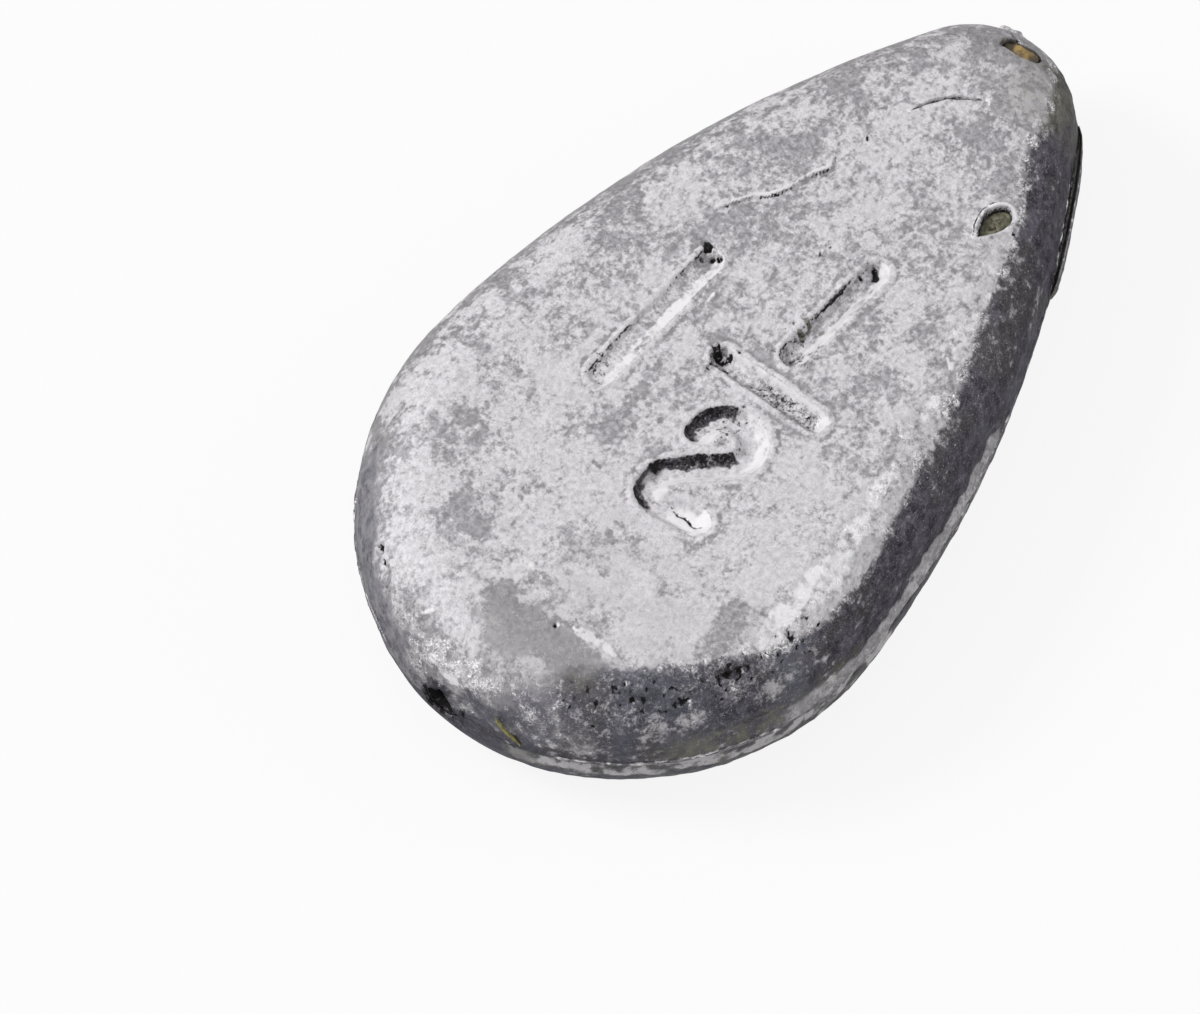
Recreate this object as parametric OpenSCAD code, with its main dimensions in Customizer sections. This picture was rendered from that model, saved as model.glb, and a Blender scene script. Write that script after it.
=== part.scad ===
// Flat teardrop fishing sinker, a lead casting of 1 1/2 ounces that slides on the line.
// X runs along the sinker towards the narrow tip, Y across it, and Z up out of the numbered face.
// It rests on Z = 0 with the middle of its outline box on the Z axis.

/* [Casting] */
// Length of the outline at the parting line
body_l = 36; // [33:0.5:42]
// Radius of the middle arc of the wide end
end_r = 9.4; // [8.6:0.1:10.4]
// Angle from the centre line that the middle arc covers each way
end_angle = 23; // [14:1:30]
// Radius of the two corner arcs of the wide end
corner_r = 11.5; // [10.6:0.1:12]
// Radius of the two long side arcs
side_r = 48.5; // [42:0.5:58]
// Radius of the narrow tip
tip_r = 4.1; // [3.6:0.1:4.8]
// Height of the numbered face above the parting line
upper_h = 4; // [3.4:0.1:5]
// Depth of the resting face below the parting line
lower_h = 3.5; // [3.2:0.1:4.5]
// Radius of the rounded shoulder between wall and face
shoulder_r = 3; // [2:0.1:3]
// Draft of the wall away from the parting line, in degrees
draft = 4.3; // [2:0.1:7]
// Depth that the tip is cut flat, square to the bore
tip_flat = 0.35; // [0.25:0.05:0.6]
// Depth that the wide end is nipped flat, square to the bore
wide_flat = 0.25; // [0.15:0.05:0.5]

/* [Line bore] */
// Diameter of the line bore, from a 1/16 inch pull pin
bore_d = 1.6; // [1.2:0.1:1.8]
// Distance of the bore from the outline's centre line
bore_y = 0.85; // [0:0.05:1]
// Wall of the collar round the tip's mouth
tip_lip_wall = 0.4; // [0.15:0.05:0.5]
// Height of the collar over the flat tip
tip_lip_h = 0.7; // [0.3:0.05:0.9]
// Wall of the half collar under the wide end's mouth
wide_lip_wall = 0.25; // [0.15:0.05:0.4]
// Height of the half collar over the nipped end
wide_lip_h = 0.15; // [0.1:0.05:0.5]
// Angle that the half collar wraps round the mouth
wide_lip_angle = 190; // [120:5:240]

/* [Weight mark] */
// Width of a stroke at the face
stroke_w = 0.85; // [0.6:0.05:0.95]
// Depth of a stroke
stroke_depth = 0.38; // [0.2:0.02:0.5]
// Height of the whole number 1
whole_h = 7.4; // [6:0.1:8]
// Height of the number 1 over the fraction line
upper_number_h = 5.3; // [4.4:0.1:5.6]
// Width of the fraction line
fraction_w = 5.1; // [4:0.1:5.6]
// Radius of the bowl of the number 2, at the middle of its stroke
bowl_r = 1.1; // [0.9:0.05:1.2]

/* [Gate, seam and blow hole] */
// Height that the gate stub stands out of the wall
gate_proud = 0.3; // [0.2:0.05:0.6]
// Thickness of the gate stub
gate_t = 1.1; // [0.7:0.1:1.6]
// Height that the seam's fins stand out of the wall
flash_proud = 0.12; // [0.06:0.02:0.3]
// Thickness of the seam's fins
flash_t = 0.2; // [0.1:0.05:0.35]
// Length of the almond-shaped blow hole
pit_l = 1.5; // [1:0.1:1.9]
// Width of the blow hole
pit_w = 0.85; // [0.6:0.05:1]
// Depth of the blow hole
pit_depth = 0.9; // [0.7:0.1:1.6]
// Thickness of the silt on its floor
silt_t = 0.6; // [0.3:0.05:0.65]

/* [Deposits] */
// Length of the hollow that crosses the tip's shoulder
hollow_l = 1.5; // [1:0.1:1.8]
// Width of the hollow
hollow_w = 0.6; // [0.4:0.05:0.8]
// Depth of the hollow's floor below the face
hollow_depth = 1.1; // [0.9:0.05:1.5]
// Thickness of the amber deposit on the hollow's floor
deposit_t = 0.35; // [0.15:0.05:0.5]
// Diameter of the strand caught on the wall
fibre_d = 0.2; // [0.1:0.05:0.3]

/* [Hidden] */

// Steps of the half outline's four arcs, and of the rounded shoulder
end_steps = 3;
corner_steps = 9;
side_steps = 14;
tip_steps = 6;
shoulder_steps = 5;
// Share of the shoulder that is left at the tip
tip_shoulder_share = 0.77;
// Most of a half's height over its land that the shoulder may take
shoulder_fill_share = 0.95;
// Upright land on each side of the parting line, which carries the fins
land_h = max(flash_t / 2, upper_h / 20);
// How far a cut runs past what it cuts
over = 1;

// The sinker stands on its lower face, with the two lips' reach set even about the origin
tip_end = body_l / 2 - tip_flat;
wide_end = body_l / 2 - wide_flat;
shift_x = -(tip_end + tip_lip_h - wide_end - wide_lip_h) / 2;
face_z = lower_h + upper_h;
bore_r = bore_d / 2;

// Centres of the four arcs. The side arc's centre is worked out so that it runs smoothly into its neighbours.
end_c = [end_r - body_l / 2, 0];
corner_c = end_c + (corner_r - end_r) * [cos(end_angle), -sin(end_angle)];
tip_c = [body_l / 2 - tip_r, 0];
span = tip_c - corner_c;
reach = norm(span);
along = ((side_r - corner_r) ^ 2 - (side_r - tip_r) ^ 2 + reach ^ 2) / (2 * reach);
aside = sqrt((side_r - corner_r) ^ 2 - along ^ 2);
side_c = corner_c + span / reach * along + [span.y, -span.x] / reach * aside;
corner_stop = atan2(corner_c.y - side_c.y, corner_c.x - side_c.x);
side_stop = atan2(tip_c.y - side_c.y, tip_c.x - side_c.x);

// One arc as rows of x, y and the angle that the wall faces, without its last point
function arc(c, r, from, to, steps) =
    [for (i = [0:steps - 1]) let (a = from + (to - from) * i / steps) [c.x + r * cos(a), c.y + r * sin(a), a]];
half_rim = concat(
    arc(end_c, end_r, 180, 180 - end_angle, end_steps),
    arc(corner_c, corner_r, 180 - end_angle, corner_stop, corner_steps),
    arc(side_c, side_r, corner_stop, side_stop, side_steps),
    arc(tip_c, tip_r, side_stop, 0, tip_steps),
    [[body_l / 2, 0, 0]]);
half_count = len(half_rim) - 1;
rim = concat(half_rim, [for (i = [half_count - 1:-1:1]) [half_rim[i].x, -half_rim[i].y, -half_rim[i].z]]);
rim_count = len(rim);

// A point of the rim moved out along its wall's facing, and the share of the shoulder there
function moved(p, d) = [p.x + d * cos(p.z), p.y + d * sin(p.z)];
function ease(p) = 1 - (1 - tip_shoulder_share) * (p.x / body_l + 1 / 2);
// Draft and shoulder draw the wall in by these amounts at step k of a half that is h high
function shoulder_rise(h) = min(shoulder_r, (h - land_h) * shoulder_fill_share);
function level(h, k) = h - shoulder_rise(h) * (1 - sin(90 * k / shoulder_steps));
function drawn_in(h, k, p) =
    (h - shoulder_rise(h) - land_h) * tan(draft) + shoulder_r * ease(p) * (1 - cos(90 * k / shoulder_steps));

// The marks and hollows sit at these shares of the length, along and across the sinker
whole_at_share = [-0.042, 0.093];
upper_number_at_share = [0.079, -0.0535];
fraction_at_share = [-0.034, -0.053];
bowl_at_share = [-0.112, -0.054];
pit_at_share = [0.275, -0.116];
pit_turn = -15;
hollow_at_share = [0.461, -0.007];
hollow_turn = 85;
// The number 2: where its bowl starts and stops, and the ends of its two strokes as shares of its bowl
bowl_from = 125;
bowl_turn = -285;
heel_share = [-3.04, 0.82];
foot_share = [-3.05, -1.05];
// Rounding of a stroke that has the wanted width at the face and the wanted depth, and swell of its round ends
stroke_r = (stroke_w ^ 2 / 4 + stroke_depth ^ 2) / (2 * stroke_depth);
stroke_z = face_z + stroke_r - stroke_depth;
end_swell_share = 1.08;

// Fins run between these shares of the whole rim, which starts at the wide end and goes round by +Y
flash_shares = [[0.04, 0.21], [0.25, 0.34], [0.38, 0.46], [0.69, 0.79], [0.82, 0.96]];
gate_from_share = 0.575;
gate_to_share = 0.66;
// Share of its height that a fin or the gate stub keeps at its ends
bar_end_share = 0.33;

// Angle of the strand's place on the wide end, and its two ends' heights as shares of the upper half
fibre_angles = [191, 197];
fibre_height_shares = [0.4, 0.06];
fibre_lift = fibre_d / 10;

module at_frame() {
    translate([shift_x, 0, 0]) children();
}

module at_bore(x) {
    translate([x, bore_y, lower_h]) rotate([0, 90, 0]) children();
}

// The body is a stack of rings of the rim, each drawn in by its own amounts, from the resting face upwards
function ring(z, h, k) = [for (p = rim) let (q = moved(p, k < 0 ? 0 : -drawn_in(h, k, p))) [q.x, q.y, z]];
rings = concat(
    [for (k = [shoulder_steps:-1:0]) ring(lower_h - level(lower_h, k), lower_h, k)],
    [ring(lower_h - land_h, lower_h, -1), ring(lower_h + land_h, upper_h, -1)],
    [for (k = [0:shoulder_steps]) ring(lower_h + level(upper_h, k), upper_h, k)]);
last_ring = (len(rings) - 1) * rim_count;

module body_form() {
    walls = [for (j = [0:rim_count:last_ring - 1], i = [0:rim_count - 1]) let (next = (i + 1) % rim_count)
        [j + i, j + next, j + next + rim_count, j + i + rim_count]];
    bottom = [for (i = [rim_count - 1:-1:0]) i];
    top = [for (i = [0:rim_count - 1]) last_ring + i];
    polyhedron(points = [for (r = rings) each r], faces = concat([bottom, top], walls), convexity = 2);
}

module stroke_end() {
    sphere(r = stroke_r * end_swell_share, $fn = 32);
}

// A round-bottomed groove between two points of the face
module stroke(from, to) {
    run = to - from;
    translate([from.x, from.y, stroke_z]) {
        stroke_end();
        rotate([0, 90, atan2(run.y, run.x)]) cylinder(r = stroke_r, h = norm(run), $fn = 32);
    }
    translate([to.x, to.y, stroke_z]) stroke_end();
}

module upright_stroke(at_share, h) {
    half = (h - stroke_w) / 2;
    stroke(at_share * body_l - [half, 0], at_share * body_l + [half, 0]);
}

module level_stroke(at_share, w) {
    half = (w - stroke_w) / 2;
    stroke(at_share * body_l - [0, half], at_share * body_l + [0, half]);
}

module number_two() {
    centre = bowl_at_share * body_l;
    start = centre + bowl_r * [cos(bowl_from), sin(bowl_from)];
    stop = centre + bowl_r * [cos(bowl_from + bowl_turn), sin(bowl_from + bowl_turn)];
    heel = centre + bowl_r * heel_share;
    foot = centre + bowl_r * foot_share;
    translate([centre.x, centre.y, stroke_z]) rotate([0, 0, bowl_from + bowl_turn])
        rotate_extrude(angle = -bowl_turn, $fn = 48) translate([bowl_r, 0]) circle(r = stroke_r, $fn = 32);
    translate([start.x, start.y, stroke_z]) stroke_end();
    stroke(stop, heel);
    stroke(heel, foot);
}

// An upright almond, where two round walls meet in its pointed ends
module almond(l, w, h) {
    wall_r = (l ^ 2 + w ^ 2) / (4 * w);
    intersection() {
        translate([0, wall_r - w / 2, 0]) cylinder(r = wall_r, h = h, $fn = 48);
        translate([0, w / 2 - wall_r, 0]) cylinder(r = wall_r, h = h, $fn = 48);
    }
}

module in_pit(h) {
    centre = pit_at_share * body_l;
    translate([centre.x, centre.y, face_z - pit_depth]) rotate([0, 0, pit_turn]) almond(pit_l, pit_w, h);
}

module in_hollow(h) {
    centre = hollow_at_share * body_l;
    translate([centre.x, centre.y, face_z - hollow_depth]) rotate([0, 0, hollow_turn])
        almond(hollow_l, hollow_w, h);
}

module lead_casting() {
    color([0.71, 0.7, 0.72]) at_frame() difference() {
        body_form();
        at_bore(-body_l / 2 - over) cylinder(r = bore_r, h = body_l + 2 * over, $fn = 48);
        translate([tip_end, -body_l / 2, -over]) cube([tip_flat + over, body_l, face_z + 2 * over]);
        translate([-body_l / 2 - over, -body_l / 2, -over])
            cube([wide_flat + over, body_l, face_z + 2 * over]);
        upright_stroke(whole_at_share, whole_h);
        upright_stroke(upper_number_at_share, upper_number_h);
        level_stroke(fraction_at_share, fraction_w);
        number_two();
        in_pit(pit_depth + over);
        in_hollow(hollow_depth + over);
    }
}

// A bar along the rim between two of its points, standing out of the wall and thinner at its ends
module rim_bar(from_share, to_share, proud, t) {
    first = round(from_share * rim_count);
    last = round(to_share * rim_count);
    outer = [for (i = [first:last]) moved(rim[i], proud * (i == first || i == last ? bar_end_share : 1))];
    inner = [for (i = [last:-1:first]) moved(rim[i], 0)];
    translate([0, 0, lower_h - t / 2]) linear_extrude(height = t) polygon(concat(outer, inner));
}

module gate_stub() {
    color([0.62, 0.61, 0.63]) at_frame() rim_bar(gate_from_share, gate_to_share, gate_proud, gate_t);
}

module seam_flash() {
    color([0.78, 0.77, 0.78]) at_frame()
        for (s = flash_shares) rim_bar(s[0], s[1], flash_proud, flash_t);
}

module tip_pin_lip() {
    color([0.6, 0.6, 0.6]) at_frame() at_bore(tip_end) difference() {
        cylinder(r = bore_r + tip_lip_wall, h = tip_lip_h, $fn = 48);
        translate([0, 0, -over]) cylinder(r = bore_r, h = tip_lip_h + 2 * over, $fn = 48);
    }
}

// Half a ring under the bore's mouth
module wide_pin_lip() {
    color([0.6, 0.6, 0.6]) at_frame() at_bore(-wide_end - wide_lip_h) rotate([0, 0, -wide_lip_angle / 2])
        rotate_extrude(angle = wide_lip_angle, $fn = 48)
            translate([bore_r, 0]) square([wide_lip_wall, wide_lip_h]);
}

module amber_deposit() {
    color([0.48, 0.42, 0.27]) at_frame() in_hollow(deposit_t);
}

module pit_silt() {
    color([0.5, 0.49, 0.4]) at_frame() in_pit(silt_t);
}

// A point on the strand's line, just clear of the wide end's wall
function wall_in(z) = let (rise = z - (upper_h - shoulder_rise(upper_h)))
    min(z, upper_h - shoulder_rise(upper_h)) * tan(draft)
    + (rise > 0 ? shoulder_r - sqrt(shoulder_r ^ 2 - rise ^ 2) : 0);
function fibre_end(k) = let (z = fibre_height_shares[k] * upper_h, r = end_r - wall_in(z) + fibre_d / 2 + fibre_lift)
    [end_c.x + r * cos(fibre_angles[k]), end_c.y + r * sin(fibre_angles[k]), lower_h + z];

module stuck_fibre() {
    from = fibre_end(0);
    run = fibre_end(1) - from;
    color([0.38, 0.37, 0.28]) at_frame() translate(from)
        rotate([0, acos(run.z / norm(run)), atan2(run.y, run.x)]) cylinder(d = fibre_d, h = norm(run), $fn = 24);
}

lead_casting();
gate_stub();
seam_flash();
tip_pin_lip();
wide_pin_lip();
amber_deposit();
pit_silt();
stuck_fibre();
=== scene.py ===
# %% [markdown]
# # A flat teardrop fishing sinker
# The real sinker is one pour of lead, with a bore along its length for the line. It is small and
# plain, so all of its charm is in the surface: pale oxide in blotches over grey metal, a sunken
# weight number with soft rolled edges, pits, folds, and a torn stub where the metal ran in.
# This lesson builds that surface. The imported model gives the place and size of every piece, so the
# script loads it first and keeps its box, and the sculpted points are kept inside it at the end.

# %% Load the frame
import math

import bmesh
import bpy
import numpy as np
from mathutils import Matrix, Vector, noise


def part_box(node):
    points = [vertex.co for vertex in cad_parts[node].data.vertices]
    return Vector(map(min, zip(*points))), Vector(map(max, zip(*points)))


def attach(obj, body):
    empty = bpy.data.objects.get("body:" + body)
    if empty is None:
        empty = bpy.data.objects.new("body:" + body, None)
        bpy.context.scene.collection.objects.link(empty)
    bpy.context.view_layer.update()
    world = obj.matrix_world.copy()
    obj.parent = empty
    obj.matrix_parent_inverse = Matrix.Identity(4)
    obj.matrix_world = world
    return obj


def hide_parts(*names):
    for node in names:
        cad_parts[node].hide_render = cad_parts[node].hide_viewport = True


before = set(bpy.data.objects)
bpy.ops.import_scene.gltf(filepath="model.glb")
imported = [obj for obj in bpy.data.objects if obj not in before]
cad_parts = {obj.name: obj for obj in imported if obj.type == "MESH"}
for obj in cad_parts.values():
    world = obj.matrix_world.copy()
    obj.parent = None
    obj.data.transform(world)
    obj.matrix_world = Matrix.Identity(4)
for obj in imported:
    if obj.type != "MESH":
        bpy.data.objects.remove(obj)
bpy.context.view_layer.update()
MM = 0.001


def node_box(name):
    """A node's lowest and highest corners, in millimetres."""
    return [np.array(corner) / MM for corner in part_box(name)]


casting_low, casting_high = node_box("lead_casting")
seam_low, seam_high = node_box("seam_flash")
print("casting, mm:", np.round(casting_high - casting_low, 2))

# %% [markdown]
# ## The camera
# The photograph was taken with a long lens from above the wide end. The angles and the distance
# come from matching the outline and the heights of the casting. The camera stands off to one side
# without turning, because the sinker lies up and to the right in the picture.

# %% Camera
PHOTO_W, PHOTO_H = 1200, 1014
outline_pixel = Vector((748.5, 389.3))
pixels_per_mm = 26.233
camera_distance = 1000 * MM
camera_elevation = math.radians(61.14)
camera_turn = math.radians(51.99)
SENSOR_W = 36

to_right = Vector((math.cos(camera_turn), -math.sin(camera_turn), 0))
to_camera = Vector((
    -math.sin(camera_turn) * math.cos(camera_elevation),
    -math.cos(camera_turn) * math.cos(camera_elevation),
    math.sin(camera_elevation)))
to_top = to_camera.cross(to_right)
SEAM_Z = (seam_low[2] + seam_high[2]) / 2
SHIFT_X = -0.225
outline_middle = Vector((SHIFT_X, 0, SEAM_Z)) * MM
offset = (Vector((PHOTO_W, PHOTO_H)) / 2 - outline_pixel) / pixels_per_mm * MM
aim = outline_middle + to_right * offset.x - to_top * offset.y

scene = bpy.context.scene
camera = bpy.data.objects.new("camera", bpy.data.cameras.new("camera"))
scene.collection.objects.link(camera)
camera.data.sensor_width = SENSOR_W
camera.data.lens = pixels_per_mm / MM * camera_distance * SENSOR_W / PHOTO_W
camera.data.clip_start = camera_distance / 10
camera.data.clip_end = camera_distance * 100
camera.location = aim + to_camera * camera_distance
camera.rotation_mode = "QUATERNION"
camera.rotation_quaternion = Matrix((to_right, to_top, to_camera)).transposed().to_quaternion()
scene.camera = camera
print("lens, mm:", round(camera.data.lens, 1))

# %% [markdown]
# ## Floor and light
# A product table: a wide pale floor, a pale world and three soft lamps. The window lamp on the left
# rakes over the face, so that every sunken stroke gets a lit wall and a shaded one. A strip on the
# right draws the bright line along the shoulder. The floor and the world look white to the camera
# and to reflections, and the world gives only part of the light, so the lamps can shape the forms.
# Each lamp's power is worked out from how bright a white card that faces it would look.

# %% Helpers and backdrop
scene.view_settings.view_transform = "Standard"
WORLD_LIGHT = 0.35
FLOOR_W = 6.0
FLOOR_WHITE = 0.88


def fill(made, inputs):
    """Links sockets into a shader node's inputs and sets the others to plain values."""
    for name, value in inputs.items():
        if isinstance(value, bpy.types.NodeSocket):
            made.id_data.links.new(value, made.inputs[name])
        else:
            made.inputs[name].default_value = value


def node(tree, kind, inputs=None, **settings):
    """Adds a shader node, sets its properties and fills its inputs."""
    made = tree.nodes.new(kind)
    for name, value in settings.items():
        setattr(made, name, value)
    fill(made, inputs or {})
    return made


def new_material(name):
    material = bpy.data.materials.new(name)
    material.use_nodes = True
    return material, material.node_tree, material.node_tree.nodes["Principled BSDF"]


def as_object(bm, name):
    mesh = bpy.data.meshes.new(name)
    bm.to_mesh(mesh)
    bm.free()
    mesh.shade_smooth()
    made = bpy.data.objects.new(name, mesh)
    scene.collection.objects.link(made)
    return made


def seen_by_viewer(tree):
    """1 for rays from the camera and in reflections or glass, 0 for light on other surfaces."""
    ray = node(tree, "ShaderNodeLightPath").outputs
    straight = node(tree, "ShaderNodeMath", {
        0: ray["Is Camera Ray"], 1: ray["Is Glossy Ray"]}, operation="MAXIMUM")
    return node(tree, "ShaderNodeMath", {
        0: straight.outputs[0], 1: ray["Is Transmission Ray"]}, operation="MAXIMUM").outputs[0]


world = bpy.data.worlds.new("studio")
scene.world = world
world.use_nodes = True
sky = world.node_tree
strength = node(sky, "ShaderNodeMapRange", {
    "Value": seen_by_viewer(sky), "To Min": WORLD_LIGHT, "To Max": 1.0}).outputs["Result"]
fill(sky.nodes["Background"], {"Color": (1, 1, 1, 1), "Strength": strength})

bm = bmesh.new()
bmesh.ops.create_grid(bm, x_segments=1, y_segments=1, size=FLOOR_W / 2)
floor = as_object(bm, "floor")

floor_paint, tree, matt = new_material("floor_paint")
fill(matt, {"Base Color": (0.85, 0.85, 0.85, 1), "Roughness": 0.9, "Specular IOR Level": 0.1})
glow = node(tree, "ShaderNodeEmission", {"Color": (1, 1, 1, 1), "Strength": 1.0})
share = node(tree, "ShaderNodeMath", {0: seen_by_viewer(tree), 1: FLOOR_WHITE}, operation="MULTIPLY")
mixed = node(tree, "ShaderNodeMixShader", {
    "Fac": share.outputs[0], 1: matt.outputs["BSDF"], 2: glow.outputs["Emission"]})
fill(tree.nodes["Material Output"], {"Surface": mixed.outputs["Shader"]})
floor.data.materials.append(floor_paint)
print("floor, m:", FLOOR_W)

# %% Lamps


def lamp(name, towards, distance, size, card_value):
    """An area lamp that makes a white card facing it render at card_value."""
    data = bpy.data.lights.new(name, "AREA")
    data.shape = "RECTANGLE"
    data.size, data.size_y = size
    data.energy = card_value * math.pi ** 2 * distance ** 2
    made = bpy.data.objects.new(name, data)
    scene.collection.objects.link(made)
    made.location = Vector(towards).normalized() * distance
    made.rotation_mode = "QUATERNION"
    made.rotation_quaternion = (-made.location).to_track_quat("-Z", "Y")


lamp("window_lamp", (-0.45, 0.8, 0.85), 0.6, (0.22, 0.22), 0.62)
lamp("shoulder_strip", (0.55, -0.64, 0.54), 0.6, (0.4, 0.07), 0.14)
lamp("ceiling_lamp", (-0.1, 0.1, 1), 0.9, (0.5, 0.5), 0.1)

# %% [markdown]
# ## The casting's form
# The outline is an egg. Each half has four arcs: the wide end, a slightly larger one at the corner,
# a long flat one along the side, and the tip. The wall has a little draft, and a large round
# shoulder leads over to each flat face. So the body is a stack of closed loops, each the same
# outline drawn in by its own amount, and bridging the loops makes the skin. The two ends are then
# cut flat, square to the bore, as on the real casting.

# %% Outline
BODY_L = 36.0
END_R, END_ANGLE = 9.4, math.radians(23)
CORNER_R, SIDE_R, TIP_R = 11.5, 48.5, 4.1
SHOULDER_R = 3.0
TIP_SHOULDER_SHARE = 0.77
DRAFT = math.radians(4.3)
LAND_H = 0.2
BORE_R, BORE_Y = 0.8, 0.85
# The face is kept a hair under the box, which leaves room for the rolled edges of the strokes
FACE_DROP = 0.06
FACE_Z = casting_high[2] - FACE_DROP

end_centre = np.array([END_R - BODY_L / 2, 0])
corner_centre = end_centre + (CORNER_R - END_R) * np.array([math.cos(END_ANGLE), -math.sin(END_ANGLE)])
tip_centre = np.array([BODY_L / 2 - TIP_R, 0])
span = tip_centre - corner_centre
reach = np.linalg.norm(span)
along_span = ((SIDE_R - CORNER_R) ** 2 - (SIDE_R - TIP_R) ** 2 + reach ** 2) / (2 * reach)
aside = math.sqrt((SIDE_R - CORNER_R) ** 2 - along_span ** 2)
side_centre = corner_centre + span / reach * along_span + np.array([span[1], -span[0]]) / reach * aside
corner_stop = math.atan2(*(corner_centre - side_centre)[::-1])
side_stop = math.atan2(*(tip_centre - side_centre)[::-1])


def arc(centre, radius, start, stop, steps):
    """Rows of x, y and the angle that the wall faces, without the last point."""
    angles = np.linspace(start, stop, steps, endpoint=False)
    x, y = centre[0] + radius * np.cos(angles), centre[1] + radius * np.sin(angles)
    return np.column_stack([x, y, angles])


half_rim = np.vstack([
    arc(end_centre, END_R, math.pi, math.pi - END_ANGLE, 8),
    arc(corner_centre, CORNER_R, math.pi - END_ANGLE, corner_stop, 28),
    arc(side_centre, SIDE_R, corner_stop, side_stop, 40),
    arc(tip_centre, TIP_R, side_stop, 0, 20),
    [[BODY_L / 2, 0, 0]]])
rim = np.vstack([half_rim, half_rim[-2:0:-1] * [1, -1, -1]])
print("rim points:", len(rim))

# %% Loops and skin
SHOULDER_STEPS = 12


def loop_points(rise, drawn_in, up):
    """The outline drawn in, at a height over or under the seam."""
    x = rim[:, 0] - drawn_in * np.cos(rim[:, 2]) + SHIFT_X
    y = rim[:, 1] - drawn_in * np.sin(rim[:, 2])
    return np.column_stack([x, y, np.full(len(rim), SEAM_Z + up * rise)])


def half_loops(half_h, up):
    """From the seam's land over the shoulder to the face."""
    ease = 1 - (1 - TIP_SHOULDER_SHARE) * (rim[:, 0] / BODY_L + 0.5)
    by_draft = (half_h - SHOULDER_R - LAND_H) * math.tan(DRAFT)
    loops = [loop_points(LAND_H, 0, up)]
    for turn in np.linspace(0, math.pi / 2, SHOULDER_STEPS):
        rise = half_h - SHOULDER_R * (1 - math.sin(turn))
        loops.append(loop_points(rise, by_draft + SHOULDER_R * ease * (1 - math.cos(turn)), up))
    return loops


def skin(bm, rings, closed=False):
    """Bridges rings of points, given in mm, and caps the ends unless the last ring meets the first."""
    edges = []
    for ring in rings:
        made = bmesh.ops.create_circle(bm, segments=len(ring), radius=MM)["verts"]
        for vert, point in zip(made, ring):
            vert.co = Vector(point) * MM
        # A dict keeps its order, so the caps come out the same in every run
        edges.append(list(dict.fromkeys(edge for vert in made for edge in vert.link_edges)))
    for here, there in zip(edges, edges[1:] + edges[:1] * closed):
        bmesh.ops.bridge_loops(bm, edges=here + there)
    if not closed:
        for end in (edges[0], edges[-1]):
            bmesh.ops.edgeloop_fill(bm, edges=end)
    bmesh.ops.recalc_face_normals(bm, faces=bm.faces)


def cut_end(bm, x, outwards):
    """Cuts an end flat, square to the bore, and closes it."""
    cut = bmesh.ops.bisect_plane(
        bm, geom=bm.verts[:] + bm.edges[:] + bm.faces[:], plane_co=(x * MM, 0, 0),
        plane_no=(outwards, 0, 0), clear_outer=True)
    bmesh.ops.edgeloop_fill(bm, edges=[e for e in cut["geom_cut"] if isinstance(e, bmesh.types.BMEdge)])


bm = bmesh.new()
skin(bm, half_loops(SEAM_Z, -1)[::-1] + half_loops(FACE_Z - SEAM_Z, 1))
cut_end(bm, casting_low[0], -1)
cut_end(bm, casting_high[0], 1)
bmesh.ops.recalc_face_normals(bm, faces=bm.faces)
form = as_object(bm, "casting_form")
print("form:", len(form.data.vertices), "points")

# %% [markdown]
# ## Even clay
# Sculpting in code moves points, so the points have to be dense and even. The bore is cut first,
# then a voxel remesh turns the form into even squares, like clay. Where the surface has fine marks
# the squares are split again, twice along the strokes and the cracks. That puts the detail where it
# shows, and keeps the piece under 200,000 triangles.

# %% Bore and remesh
VOXEL = 0.3
PIN_SIDES, PIN_L = 48, BODY_L * 1.2

bm = bmesh.new()
bmesh.ops.create_cone(
    bm, cap_ends=True, segments=PIN_SIDES, radius1=BORE_R * MM, radius2=BORE_R * MM, depth=PIN_L * MM,
    matrix=Matrix.Translation(Vector((0, BORE_Y, SEAM_Z)) * MM) @ Matrix.Rotation(math.pi / 2, 4, "Y"))
pin = as_object(bm, "pull_pin")
cut = form.modifiers.new("bore", "BOOLEAN")
cut.operation = "DIFFERENCE"
cut.object = pin
even = form.modifiers.new("even", "REMESH")
even.mode = "VOXEL"
even.voxel_size = VOXEL * MM
clay = bpy.data.meshes.new_from_object(form.evaluated_get(bpy.context.evaluated_depsgraph_get()))
clay.name = "lead_casting_surface"
bpy.data.objects.remove(form)
bpy.data.objects.remove(pin)
print("even squares:", len(clay.polygons))

# %% [markdown]
# ## Where the marks are
# All places are in millimetres on the sinker: X towards the tip, Y across, Z up. Marks on the face
# give X and Y alone. The weight number reads 1 1/2, with its top towards the tip: a long stroke, a
# shorter one over the fraction line, and a 2 under it.

# %% Paths and their distances


def lifted(path):
    """The path's points as X, Y and Z; a point without a height is on the face."""
    return [np.array(point if len(point) == 3 else (*point, FACE_Z), float) for point in path]


def curve(points, steps=6):
    """A smooth path through the points."""
    points = lifted(points)
    padded = [2 * points[0] - points[1], *points, 2 * points[-1] - points[-2]]
    made = []
    for a, b, c, d in zip(padded, padded[1:], padded[2:], padded[3:]):
        for t in np.linspace(0, 1, steps, endpoint=False):
            made.append(0.5 * (2 * b + (c - a) * t + (2 * a - 5 * b + 4 * c - d) * t ** 2
                               + (3 * b - a - 3 * c + d) * t ** 3))
    return [*made, points[-1]]


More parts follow.
